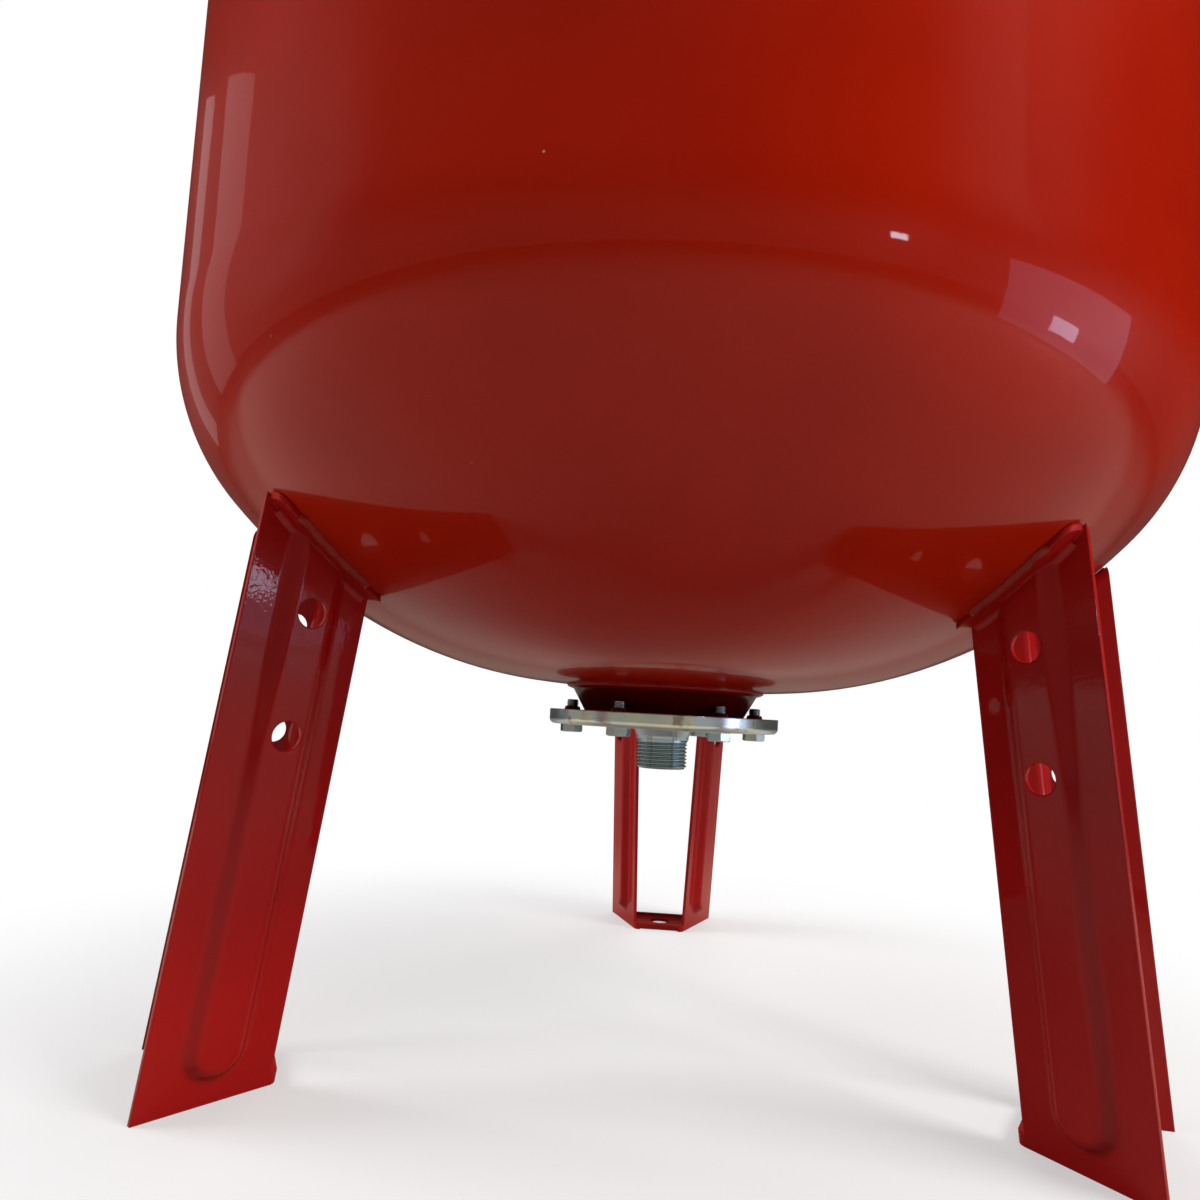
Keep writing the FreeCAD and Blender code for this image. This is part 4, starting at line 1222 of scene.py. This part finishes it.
@dataclass
class BottomConnection:
    """Threaded nipple, bolts and neck weld under the tank.

    Attributes:
        head: Form of the tank's head.
        pipe_thread: Thread of the nipple.
        nipple_bore: Radius and height of the nipple's rings inside, from its top to the thread's end.
        nipple_body: Radius and height of its rings outside, from the thread to its top.
        bolt_thread: Thread of each bolt over the counterflange's underside.
        bolt_head: Rings of a bolt's head, as the radius that cuts them off, height and slope of a chamfer.
        bolt_count: Number of bolts.
        bolt_circle: Radius of the bolt circle.
        bolt_turn: Angle of the first bolt in degrees.
        bolt_spins: Turn of the first bolt's head, and from each head to the next, in degrees.
        half_flat: Half the width of a bolt's head across its flats.
        head_faces: Faces round a bolt's head.
        neck_top: Outer radius of the neck's cone at the head.
        cone_angle: Half opening of the cone in degrees.
        neck_leg: Leg of the weld between the cone and the head.
        neck_hollow: How far the weld's face stays behind an arc, as a share of its leg.
        neck_root: How deep the weld's root lies in the head.
        neck_sink: How deep the weld's outer edge lies in it.
        neck_scales: Scales of that weld, as its swell.
        scale_length: Length of one of them.
        neck_segments: Faces round that weld.
        neck_rows: Faces across it.
    """

    head: DrawnHead
    pipe_thread: ScrewThread = ScrewThread(
        major=16.62, pitch=2.309, depth=1.35, low=160.9, high=179.8, chamfer=1.5
    )
    nipple_bore: Profile = ((13.5, 192.0), (13.5, 161.6), (14.1, 160.9))
    nipple_body: Profile = (
        (17.1, 179.82),
        (17.3, 180.1),
        (17.3, 181.9),
        (17.45, 182.15),
        (19.2, 186.4),
        (19.45, 186.8),
        (19.45, 187.0),
        (17.0, 187.0),
        (17.0, 192.0),
        (13.5, 192.0),
    )
    bolt_thread: ScrewThread = ScrewThread(
        major=3.9,
        pitch=1.25,
        depth=0.62,
        low=187.0,
        high=203.0,
        chamfer=0.9,
        free_end_up=True,
        around=36,
        rows_per_turn=14,
    )
    bolt_head: tuple[Point, ...] = (
        (0.05, 181.95, 0.0),
        (4.4, 181.95, 0.0),
        (5.0, 181.7, 0.0),
        (6.1, 181.7, 0.0),
        (13.0, 181.8, 0.55),
        (13.0, 186.9, 0.0),
        (13.0, 187.0, 0.0),
        (3.9, 187.0, 0.0),
    )
    bolt_count: int = 6
    bolt_circle: float = 60.5
    bolt_turn: float = 5.3
    bolt_spins: tuple[float, float] = (11.0, 23.0)
    half_flat: float = 6.5
    head_faces: int = 72
    neck_top: float = 62.0
    cone_angle: float = 29.5
    neck_leg: float = 2.7
    neck_hollow: float = 0.15
    neck_root: float = 0.2
    neck_sink: float = 0.02
    neck_scales: WeldScales = WeldScales(body=0.35, rise=0.22, lag=0.8, seed=0.17)
    scale_length: float = 2.3
    neck_segments: int = 720
    neck_rows: int = 10

    def dress(self, palette: Palette) -> None:
        """Builds the connection's pieces and gives them their zinc and paint.

        Args:
            palette: The finishes.
        """
        palette.dress_piece(self.nipple(), "zinc_nipple", "nipple")
        palette.dress_piece(self.bolts(), "zinc_bolt", "flange_bolts")
        palette.dress_piece(self.neck_weld(), "weld_paint", "neck_weld")

    def nipple(self) -> bpy.types.Object:
        """Builds the nipple with its cut thread.

        Returns:
            The object.
        """
        around = self.pipe_thread.around
        rows = [ring(radius, height, around) for radius, height in self.nipple_bore]
        rows += self.pipe_thread.rows()
        rows += [ring(radius, height, around) for radius, height in self.nipple_body]
        builder = MeshBuilder("nipple_threaded")
        builder.grid(rows)
        return builder.build(smooth_angle=40.0)

    def bolts(self) -> bpy.types.Object:
        """Builds the bolts with chamfered heads and cut thread ends.

        Returns:
            The object.
        """
        builder = MeshBuilder("flange_bolts_threaded")
        first_spin, next_spin = self.bolt_spins
        for number in range(self.bolt_count):
            angle = math.radians(self.bolt_turn + 360.0 / self.bolt_count * number)
            centre = (self.bolt_circle * math.cos(angle), self.bolt_circle * math.sin(angle))
            builder.grid(self._bolt_head(centre, math.radians(first_spin + next_spin * number)))
            rows = self.bolt_thread.rows(centre)
            builder.grid(rows)
            builder.disc(rows[-1])
        return builder.build(smooth_angle=38.0)

    def _bolt_head(self, centre: tuple[float, float], spin: float) -> list[list[Point]]:
        """Rows of a bolt's head, from a shallow dish in its lower face to the shank.

        Args:
            centre: Where the bolt's axis stands.
            spin: Turn of the head in radians.

        Returns:
            The rows, clockwise from above.
        """
        sixth = TURN / 6
        rows = []
        for cut, height, slope in self.bolt_head:
            row = []
            for index in range(self.head_faces):
                turn = TURN * index / self.head_faces
                side = (turn + sixth / 2) % sixth - sixth / 2
                reach = min(cut, self.half_flat / math.cos(side))
                x = centre[0] + reach * math.cos(turn + spin)
                y = centre[1] + reach * math.sin(turn + spin)
                row.append((x, y, height + (reach - self.half_flat) * slope))
            rows.append(row[::-1])
        return rows

    def neck_weld(self) -> bpy.types.Object:
        """Builds the weld ring between the neck's cone and the head.

        Returns:
            The object.
        """
        builder = MeshBuilder("neck_weld_bead")
        slope = math.tan(math.radians(self.cone_angle))
        start = self.head.height_at(self.neck_top)
        rows = []
        for index in range(self.neck_rows):
            share = index / self.neck_rows
            out = self.neck_leg * math.sin(math.pi / 2 * share)
            down = self.neck_leg * math.cos(math.pi / 2 * share)
            radius = self.neck_top - down * slope * (1.0 - share) + out
            bulge = 1.0 - self.neck_hollow * math.sin(math.pi * share)
            height = start - down * bulge - self.neck_sink * share
            rows.append(ring(radius, height, self.neck_segments, partial(self._neck_wave, share)))
        last = self.neck_top + self.neck_leg
        rows.append(ring(last, self.head.height_at(last), self.neck_segments))
        rows.append(ring(self.neck_top, start + self.neck_root, self.neck_segments))
        rows.append(rows[0])
        builder.grid([row[::-1] for row in rows])
        return builder.build(smooth_angle=60.0)

    def _neck_wave(self, share: float, angle: float) -> float:
        """How far the neck weld swells out.

        Args:
            share: Place across the weld, from 0 to 1.
            angle: Angle round the axis.

        Returns:
            The swell.
        """
        phase = angle * self.neck_top / self.scale_length
        return math.sin(math.pi * share) * self.neck_scales.size(phase, share)


@dataclass
class SheetLegs:
    """The three legs' welds, laid on the head along the legs' lips.

    Attributes:
        head: Form of the tank's head.
        sides: Name of each leg and its direction in degrees.
        lip_inner: Level place where the lip's bend starts, on a leg that reaches along +X.
        lip_outer: Level place where it ends.
        lip_width: Width of the lip.
        weld_start: Where a weld starts along the lip.
        weld_length: Length of a weld.
        weld_radius: Half a weld's width.
        weld_end: Length over which each end rounds off.
        end_size: Share of the radius that is left at an end.
        spread: Half width of a weld's section beside its radius.
        crown: Height of the section over the sheet beside it.
        root: Depth of the section in the sheet beside it.
        wander: How far a weld strays sideways.
        wander_length: Length over which it strays.
        swell: How far its radius changes, as a share.
        swell_length: Length over which it changes.
        swell_seed: What is added to a weld's seed for that change.
        scale_rise: Rise of its scales, as a share of its radius.
        scale_lag: How far a scale trails at the weld's sides, in scales.
        scale_length: Length of one scale.
        seeds: What the wandering starts from, in a leg's left weld and in its right one.
        stations: Faces along a weld.
        around: Faces round a weld.
    """

    head: DrawnHead
    sides: tuple[tuple[str, float], ...] = (("front_left", 210.0), ("front_right", 330.0), ("back", 90.0))
    lip_inner: tuple[float, float] = (199.03, 30.59)
    lip_outer: tuple[float, float] = (253.3, 55.44)
    lip_width: float = 12.5
    weld_start: float = 8.0
    weld_length: float = 41.4
    weld_radius: float = 4.2
    weld_end: float = 4.0
    end_size: float = 0.02
    spread: float = 1.05
    crown: float = 0.82
    root: float = 0.5
    wander: float = 0.35
    wander_length: float = 17.0
    swell: float = 0.06
    swell_length: float = 9.0
    swell_seed: float = 0.4
    scale_rise: float = 0.028
    scale_lag: float = -0.55
    scale_length: float = 3.1
    seeds: tuple[float, float] = (0.754, 0.294)
    stations: int = 132
    around: int = 28

    def dress(self, palette: Palette) -> None:
        """Builds the welds of each leg and paints them.

        Args:
            palette: The finishes.
        """
        for side, direction in self.sides:
            palette.dress_piece(self.welds(side, direction), "weld_paint", "leg_welds_" + side)

    def welds(self, side: str, direction: float) -> bpy.types.Object:
        """Builds both weld beads of one leg.

        Args:
            side: Name of the leg.
            direction: Its direction in degrees.

        Returns:
            The object.
        """
        builder = MeshBuilder("leg_weld_beads_" + side)
        turn = Matrix.Rotation(math.radians(direction), 3, "Z")
        for sign, seed in zip((1.0, -1.0), self.seeds):
            builder.grid(self._bead(turn, sign, seed))
        return builder.build(smooth_angle=60.0)

    def _rounded(self, distance: float) -> float:
        """Share of a bead's full size at a distance from one of its ends."""
        return math.sqrt(1.0 - (1.0 - min(1.0, distance / self.weld_end)) ** 2)

    def _bead(self, turn: Matrix, sign: float, seed: float) -> list[list[Point]]:
        """Rows of points round one bead.

        Args:
            turn: Rotation of the leg.
            sign: 1 for the lip on the leg's left, -1 for the other.
            seed: What its wandering starts from.

        Returns:
            Rows from one end to the other.
        """
        inner, outer = Vector((*self.lip_inner, 0.0)), Vector((*self.lip_outer, 0.0))
        along = (outer - inner).normalized()
        outward = Vector((-along.y, along.x, 0.0))
        scales = WeldScales(body=1.0, rise=self.scale_rise, lag=self.scale_lag, seed=seed)
        rows = []
        for station in range(self.stations + 1):
            reach = self.weld_length * (station / self.stations)
            aside = self.lip_width + self.wander * ripple(reach / self.wander_length, seed)
            place = inner + along * (self.weld_start + reach) + outward * aside
            place.z = self.head.height_at(math.hypot(place.x, place.y))
            normal = self.head.normal_at(place)
            across = normal.cross(along).normalized()
            end = self._rounded(reach) * self._rounded(self.weld_length - reach)
            swell = 1.0 + self.swell * ripple(reach / self.swell_length, seed + self.swell_seed)
            size = self.weld_radius * max(self.end_size, end) * swell
            row = []
            for index in range(self.around):
                angle = TURN * index / self.around
                level, high = math.cos(angle), math.sin(angle)
                high *= self.crown if high > 0 else self.root
                radius = size * scales.size(reach / self.scale_length, level**2)
                spot = place + across * (self.spread * level * radius) + normal * (high * radius)
                spot.y *= sign
                row.append(tuple(turn @ spot))
            rows.append(row if sign > 0 else row[::-1])
        return rows


@dataclass(frozen=True)
class StudioLight:
    """One soft rectangular lamp.

    Attributes:
        name: Name of the lamp.
        place: Where it hangs, in metres.
        width: Width in metres.
        height: Height in metres.
        power: Power in watts.
        target: What it points at, in metres.
        colour: Colour of the light.
        mirrored: Whether the lamp itself shows in glossy surfaces.
    """

    name: str
    place: Point
    width: float
    height: float
    power: float
    target: Point = (0.0, 0.0, 0.5)
    colour: Colour = WHITE
    mirrored: bool = True

    def hang(self) -> None:
        """Adds the lamp."""
        data = bpy.data.lights.new(self.name, "AREA")
        data.shape = "RECTANGLE"
        data.size, data.size_y = self.width, self.height
        data.energy = self.power
        data.color = self.colour
        lamp = bpy.data.objects.new(self.name, data)
        bpy.context.scene.collection.objects.link(lamp)
        lamp.visible_glossy = self.mirrored
        lamp.location = self.place
        aim = Vector(self.target) - Vector(self.place)
        lamp.rotation_euler = aim.to_track_quat("-Z", "Y").to_euler()


@dataclass
class PhotoCamera:
    """Camera at the photograph's place, fitted to the tank's outline and the legs.

    Attributes:
        place: Lens position in millimetres.
        yaw: Turn to the right of +Y in degrees.
        pitch: Tilt upwards in degrees.
        roll: Turn about the view axis in degrees.
        frame: Width and height of the photograph in pixels.
        focal: Focal length in those pixels.
        centre: Principal point in them, from the middle.
        film: Width of the film in millimetres.
    """

    place: Point = (13.38, -561.94, 195.84)
    yaw: float = -3.369
    pitch: float = 4.272
    roll: float = 3.074
    frame: float = 1200.0
    focal: float = 844.0
    centre: tuple[float, float] = (37.44, 50.42)
    film: float = 36.0

    def make(self) -> None:
        """Adds the camera and makes it the scene's own."""
        yaw, pitch, roll = (math.radians(value) for value in (self.yaw, self.pitch, self.roll))
        ahead = Vector((math.sin(yaw) * math.cos(pitch), math.cos(yaw) * math.cos(pitch), math.sin(pitch)))
        level = Vector((math.cos(yaw), -math.sin(yaw), 0.0))
        above = level.cross(ahead)
        right = math.cos(roll) * level + math.sin(roll) * above
        up = -math.sin(roll) * level + math.cos(roll) * above
        data = bpy.data.cameras.new("photo_camera")
        data.sensor_width = self.film
        data.lens = self.film * self.focal / self.frame
        data.shift_x = -self.centre[0] / self.frame
        data.shift_y = self.centre[1] / self.frame
        data.clip_start = 0.01
        camera = bpy.data.objects.new("photo_camera", data)
        bpy.context.scene.collection.objects.link(camera)
        facing = Matrix((right, up, -ahead)).transposed().to_4x4()
        camera.matrix_world = Matrix.Translation(Vector(self.place) * MM) @ facing
        bpy.context.scene.camera = camera


@dataclass
class Studio:
    """Floor, background and lamps.

    Attributes:
        floor_size: Side of the floor in metres.
        floor_tone: How bright the floor looks where it shows.
        floor_glow: Share of plain white in it near the tank, which grows to all of it.
        fade: Distances from the axis between which it grows, in metres.
        floor_lit: Colour of the floor in the paint.
        floor_shaded: Its colour there in the tank's shade.
        floor_bounced: Its colour in the light that it throws up.
        shade_reach: Distances from the axis between which the shade ends, in metres.
        shade_light: Share of the lit colour in the middle of it.
        back_reach: Distances behind the axis between which the floor darkens, in metres.
        back_light: Share of the lit colour that is left there.
        soft_light: Level of the light from all round.
        wall_tone: How bright the studio's front and sides look in the paint.
        back_tone: How bright its back looks there.
        high_light: Share of those that is left high up, on the left and on the right.
        ceiling_tone: How bright its ceiling looks there.
        warm: Tint of the studio in reflections.
        lamps: The lamps.
    """

    floor_size: float = 24.0
    floor_tone: float = 0.78
    floor_glow: float = 0.45
    fade: tuple[float, float] = (0.25, 0.6)
    floor_lit: Colour = (0.6, 0.53, 0.46)
    floor_shaded: Colour = (0.06, 0.05, 0.04)
    floor_bounced: Colour = (0.36, 0.33, 0.3)
    shade_reach: tuple[float, float] = (0.05, 0.35)
    shade_light: float = 0.45
    back_reach: tuple[float, float] = (0.3, 0.6)
    back_light: float = 0.35
    soft_light: float = 0.16
    wall_tone: float = 0.3
    back_tone: float = 0.08
    high_light: tuple[float, float] = (0.4, 0.1)
    ceiling_tone: float = 0.3
    warm: Colour = (1.0, 0.95, 0.84)
    lamps: tuple[StudioLight, ...] = (
        StudioLight(
            "key_right",
            place=(2.3, -1.1, 2.0),
            target=(0.1, 0.0, 0.6),
            width=1.3,
            height=1.3,
            power=75.0,
            colour=(1.0, 0.97, 0.92),
            mirrored=False,
        ),
        StudioLight(
            "left_fill",
            place=(-2.5, -0.2, 1.5),
            width=1.4,
            height=1.4,
            power=60.0,
            colour=(0.97, 0.98, 1.0),
            mirrored=False,
        ),
        StudioLight(
            "back_fill",
            place=(0.6, 2.8, 1.5),
            width=2.0,
            height=1.4,
            power=24.0,
            mirrored=False,
        ),
        StudioLight(
            "overhead",
            place=(0.3, 0.4, 3.0),
            target=(0.0, 0.0, 0.4),
            width=2.6,
            height=2.6,
            power=34.0,
        ),
        StudioLight(
            "strip_near",
            place=(-2.52, 0.5, 1.1),
            width=0.5,
            height=1.8,
            power=1.2,
            colour=(1.0, 0.93, 0.95),
        ),
        StudioLight(
            "strip_far",
            place=(-2.32, 1.25, 1.1),
            width=0.3,
            height=1.8,
            power=0.8,
            colour=(1.0, 0.93, 0.95),
        ),
        StudioLight(
            "panel_right",
            place=(2.35, -0.75, 0.42),
            target=(-0.1, -0.15, 0.25),
            width=1.3,
            height=0.8,
            power=5.2,
            colour=(0.68, 0.72, 1.0),
        ),
        StudioLight(
            "patch_right",
            place=(2.142, -0.732, 0.27),
            target=(-0.19, -0.17, 0.25),
            width=0.25,
            height=0.17,
            power=1.5,
            colour=(0.72, 0.74, 1.0),
        ),
        StudioLight(
            "glint",
            place=(1.9, -2.5, 0.8),
            target=(0.07, -0.29, 0.36),
            width=0.17,
            height=0.1,
            power=1.7,
            colour=(0.8, 0.87, 1.0),
        ),
    )

    def build(self) -> None:
        """Adds the floor, the background and the lamps."""
        self._world()
        self._floor()
        for lamp in self.lamps:
            lamp.hang()

    @staticmethod
    def _seen(graph: NodeGraph, path: bpy.types.Node) -> bpy.types.NodeSocket:
        """Adds the test for rays that show the white background.

        Args:
            graph: The graph that is added to.
            path: Its Light Path node.

        Returns:
            A socket that is 1 for camera and transmission rays.
        """
        return graph.math("MAXIMUM", path.outputs["Is Camera Ray"], path.outputs["Is Transmission Ray"])

    def _world(self) -> None:
        """Makes the background: white where it shows, and a plain studio in reflections."""
        world = bpy.data.worlds.new("studio_world")
        bpy.context.scene.world = world
        world.use_nodes = True
        world.node_tree.nodes.clear()
        graph = NodeGraph(world.node_tree)
        way = graph.split(graph.add("ShaderNodeTexCoord").outputs["Generated"])
        wall = graph.range(way["Y"], -0.1, 0.45, self.wall_tone, self.back_tone)
        high = graph.range(way["X"], -0.2, 0.5, *self.high_light)
        wall = graph.math("MULTIPLY", wall, graph.range(way["Z"], 0.1, 0.4, 1.0, high))
        studio = graph.range(way["Z"], 0.6, 0.85, wall, self.ceiling_tone)
        path = graph.add("ShaderNodeLightPath")
        glossy = path.outputs["Is Glossy Ray"]
        seen = self._seen(graph, path)
        unlit = graph.math("SUBTRACT", 1.0, graph.math("MAXIMUM", glossy, seen))
        strength = graph.math("MULTIPLY", unlit, self.soft_light)
        strength = graph.math("ADD", strength, graph.math("MULTIPLY", glossy, studio))
        strength = graph.math("ADD", strength, seen)
        tint = graph.mix(glossy, WHITE, self.warm)
        light = graph.add("ShaderNodeBackground", {"Color": tint, "Strength": strength})
        graph.add("ShaderNodeOutputWorld", {"Surface": light.outputs["Background"]})

    def _floor(self) -> None:
        """Makes the floor, which fades into the background away from the tank and is clear from below."""
        half = self.floor_size / 2
        mesh = bpy.data.meshes.new("studio_floor")
        corners = [(-half, -half, 0), (half, -half, 0), (half, half, 0), (-half, half, 0)]
        mesh.from_pydata(corners, [], [(0, 1, 2, 3)])
        floor = bpy.data.objects.new("studio_floor", mesh)
        bpy.context.scene.collection.objects.link(floor)
        mesh.materials.append(self._floor_white())

    def _floor_white(self) -> bpy.types.Material:
        """Makes the floor's material, with a tone of its own in reflections and in bounced light.

        Returns:
            The material.
        """
        material, graph, place = new_material("floor_white")
        away = graph.length(place)
        path = graph.add("ShaderNodeLightPath")
        seen = self._seen(graph, path)
        share = graph.math("MULTIPLY", graph.range(away, *self.fade, self.floor_glow, 1.0), seen)
        shade = graph.range(away, *self.shade_reach, self.shade_light, 1.0)
        behind = graph.range(graph.split(place)["Y"], *self.back_reach, 1.0, self.back_light)
        mirrored = graph.mix(graph.math("MULTIPLY", shade, behind), self.floor_shaded, self.floor_lit)
        tone = graph.mix(path.outputs["Is Diffuse Ray"], mirrored, self.floor_bounced)
        tone = graph.mix(seen, tone, (self.floor_tone, self.floor_tone, self.floor_tone))
        ground = graph.add("ShaderNodeBsdfDiffuse", {"Color": tone}).outputs["BSDF"]
        glow = graph.add("ShaderNodeEmission", {"Color": (*WHITE, 1.0), "Strength": 1.0})
        lit = graph.add("ShaderNodeMixShader", {0: share, 1: ground, 2: glow.outputs["Emission"]})
        below = graph.add("ShaderNodeNewGeometry").outputs["Backfacing"]
        below = graph.math("MULTIPLY", below, path.outputs["Is Camera Ray"])
        clear = graph.add("ShaderNodeBsdfTransparent").outputs["BSDF"]
        shown = graph.add("ShaderNodeMixShader", {0: below, 1: lit.outputs["Shader"], 2: clear})
        graph.add("ShaderNodeOutputMaterial", {"Surface": shown.outputs["Shader"]})
        return material


def main() -> None:
    """Builds the pieces in order, dresses them and sets up the studio."""
    logging.basicConfig(level=logging.INFO, format="%(name)s: %(message)s")
    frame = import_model()
    bpy.context.scene.view_settings.view_transform = "Standard"
    palette = Palette(SurfaceEffects())
    palette.mix()
    palette.dress_nodes(frame)

    head = DrawnHead()
    TankShell(head).dress(palette)
    BottomConnection(head).dress(palette)
    SheetLegs(head).dress(palette)

    Studio().build()
    PhotoCamera().make()


if __name__ == "__main__":
    main()
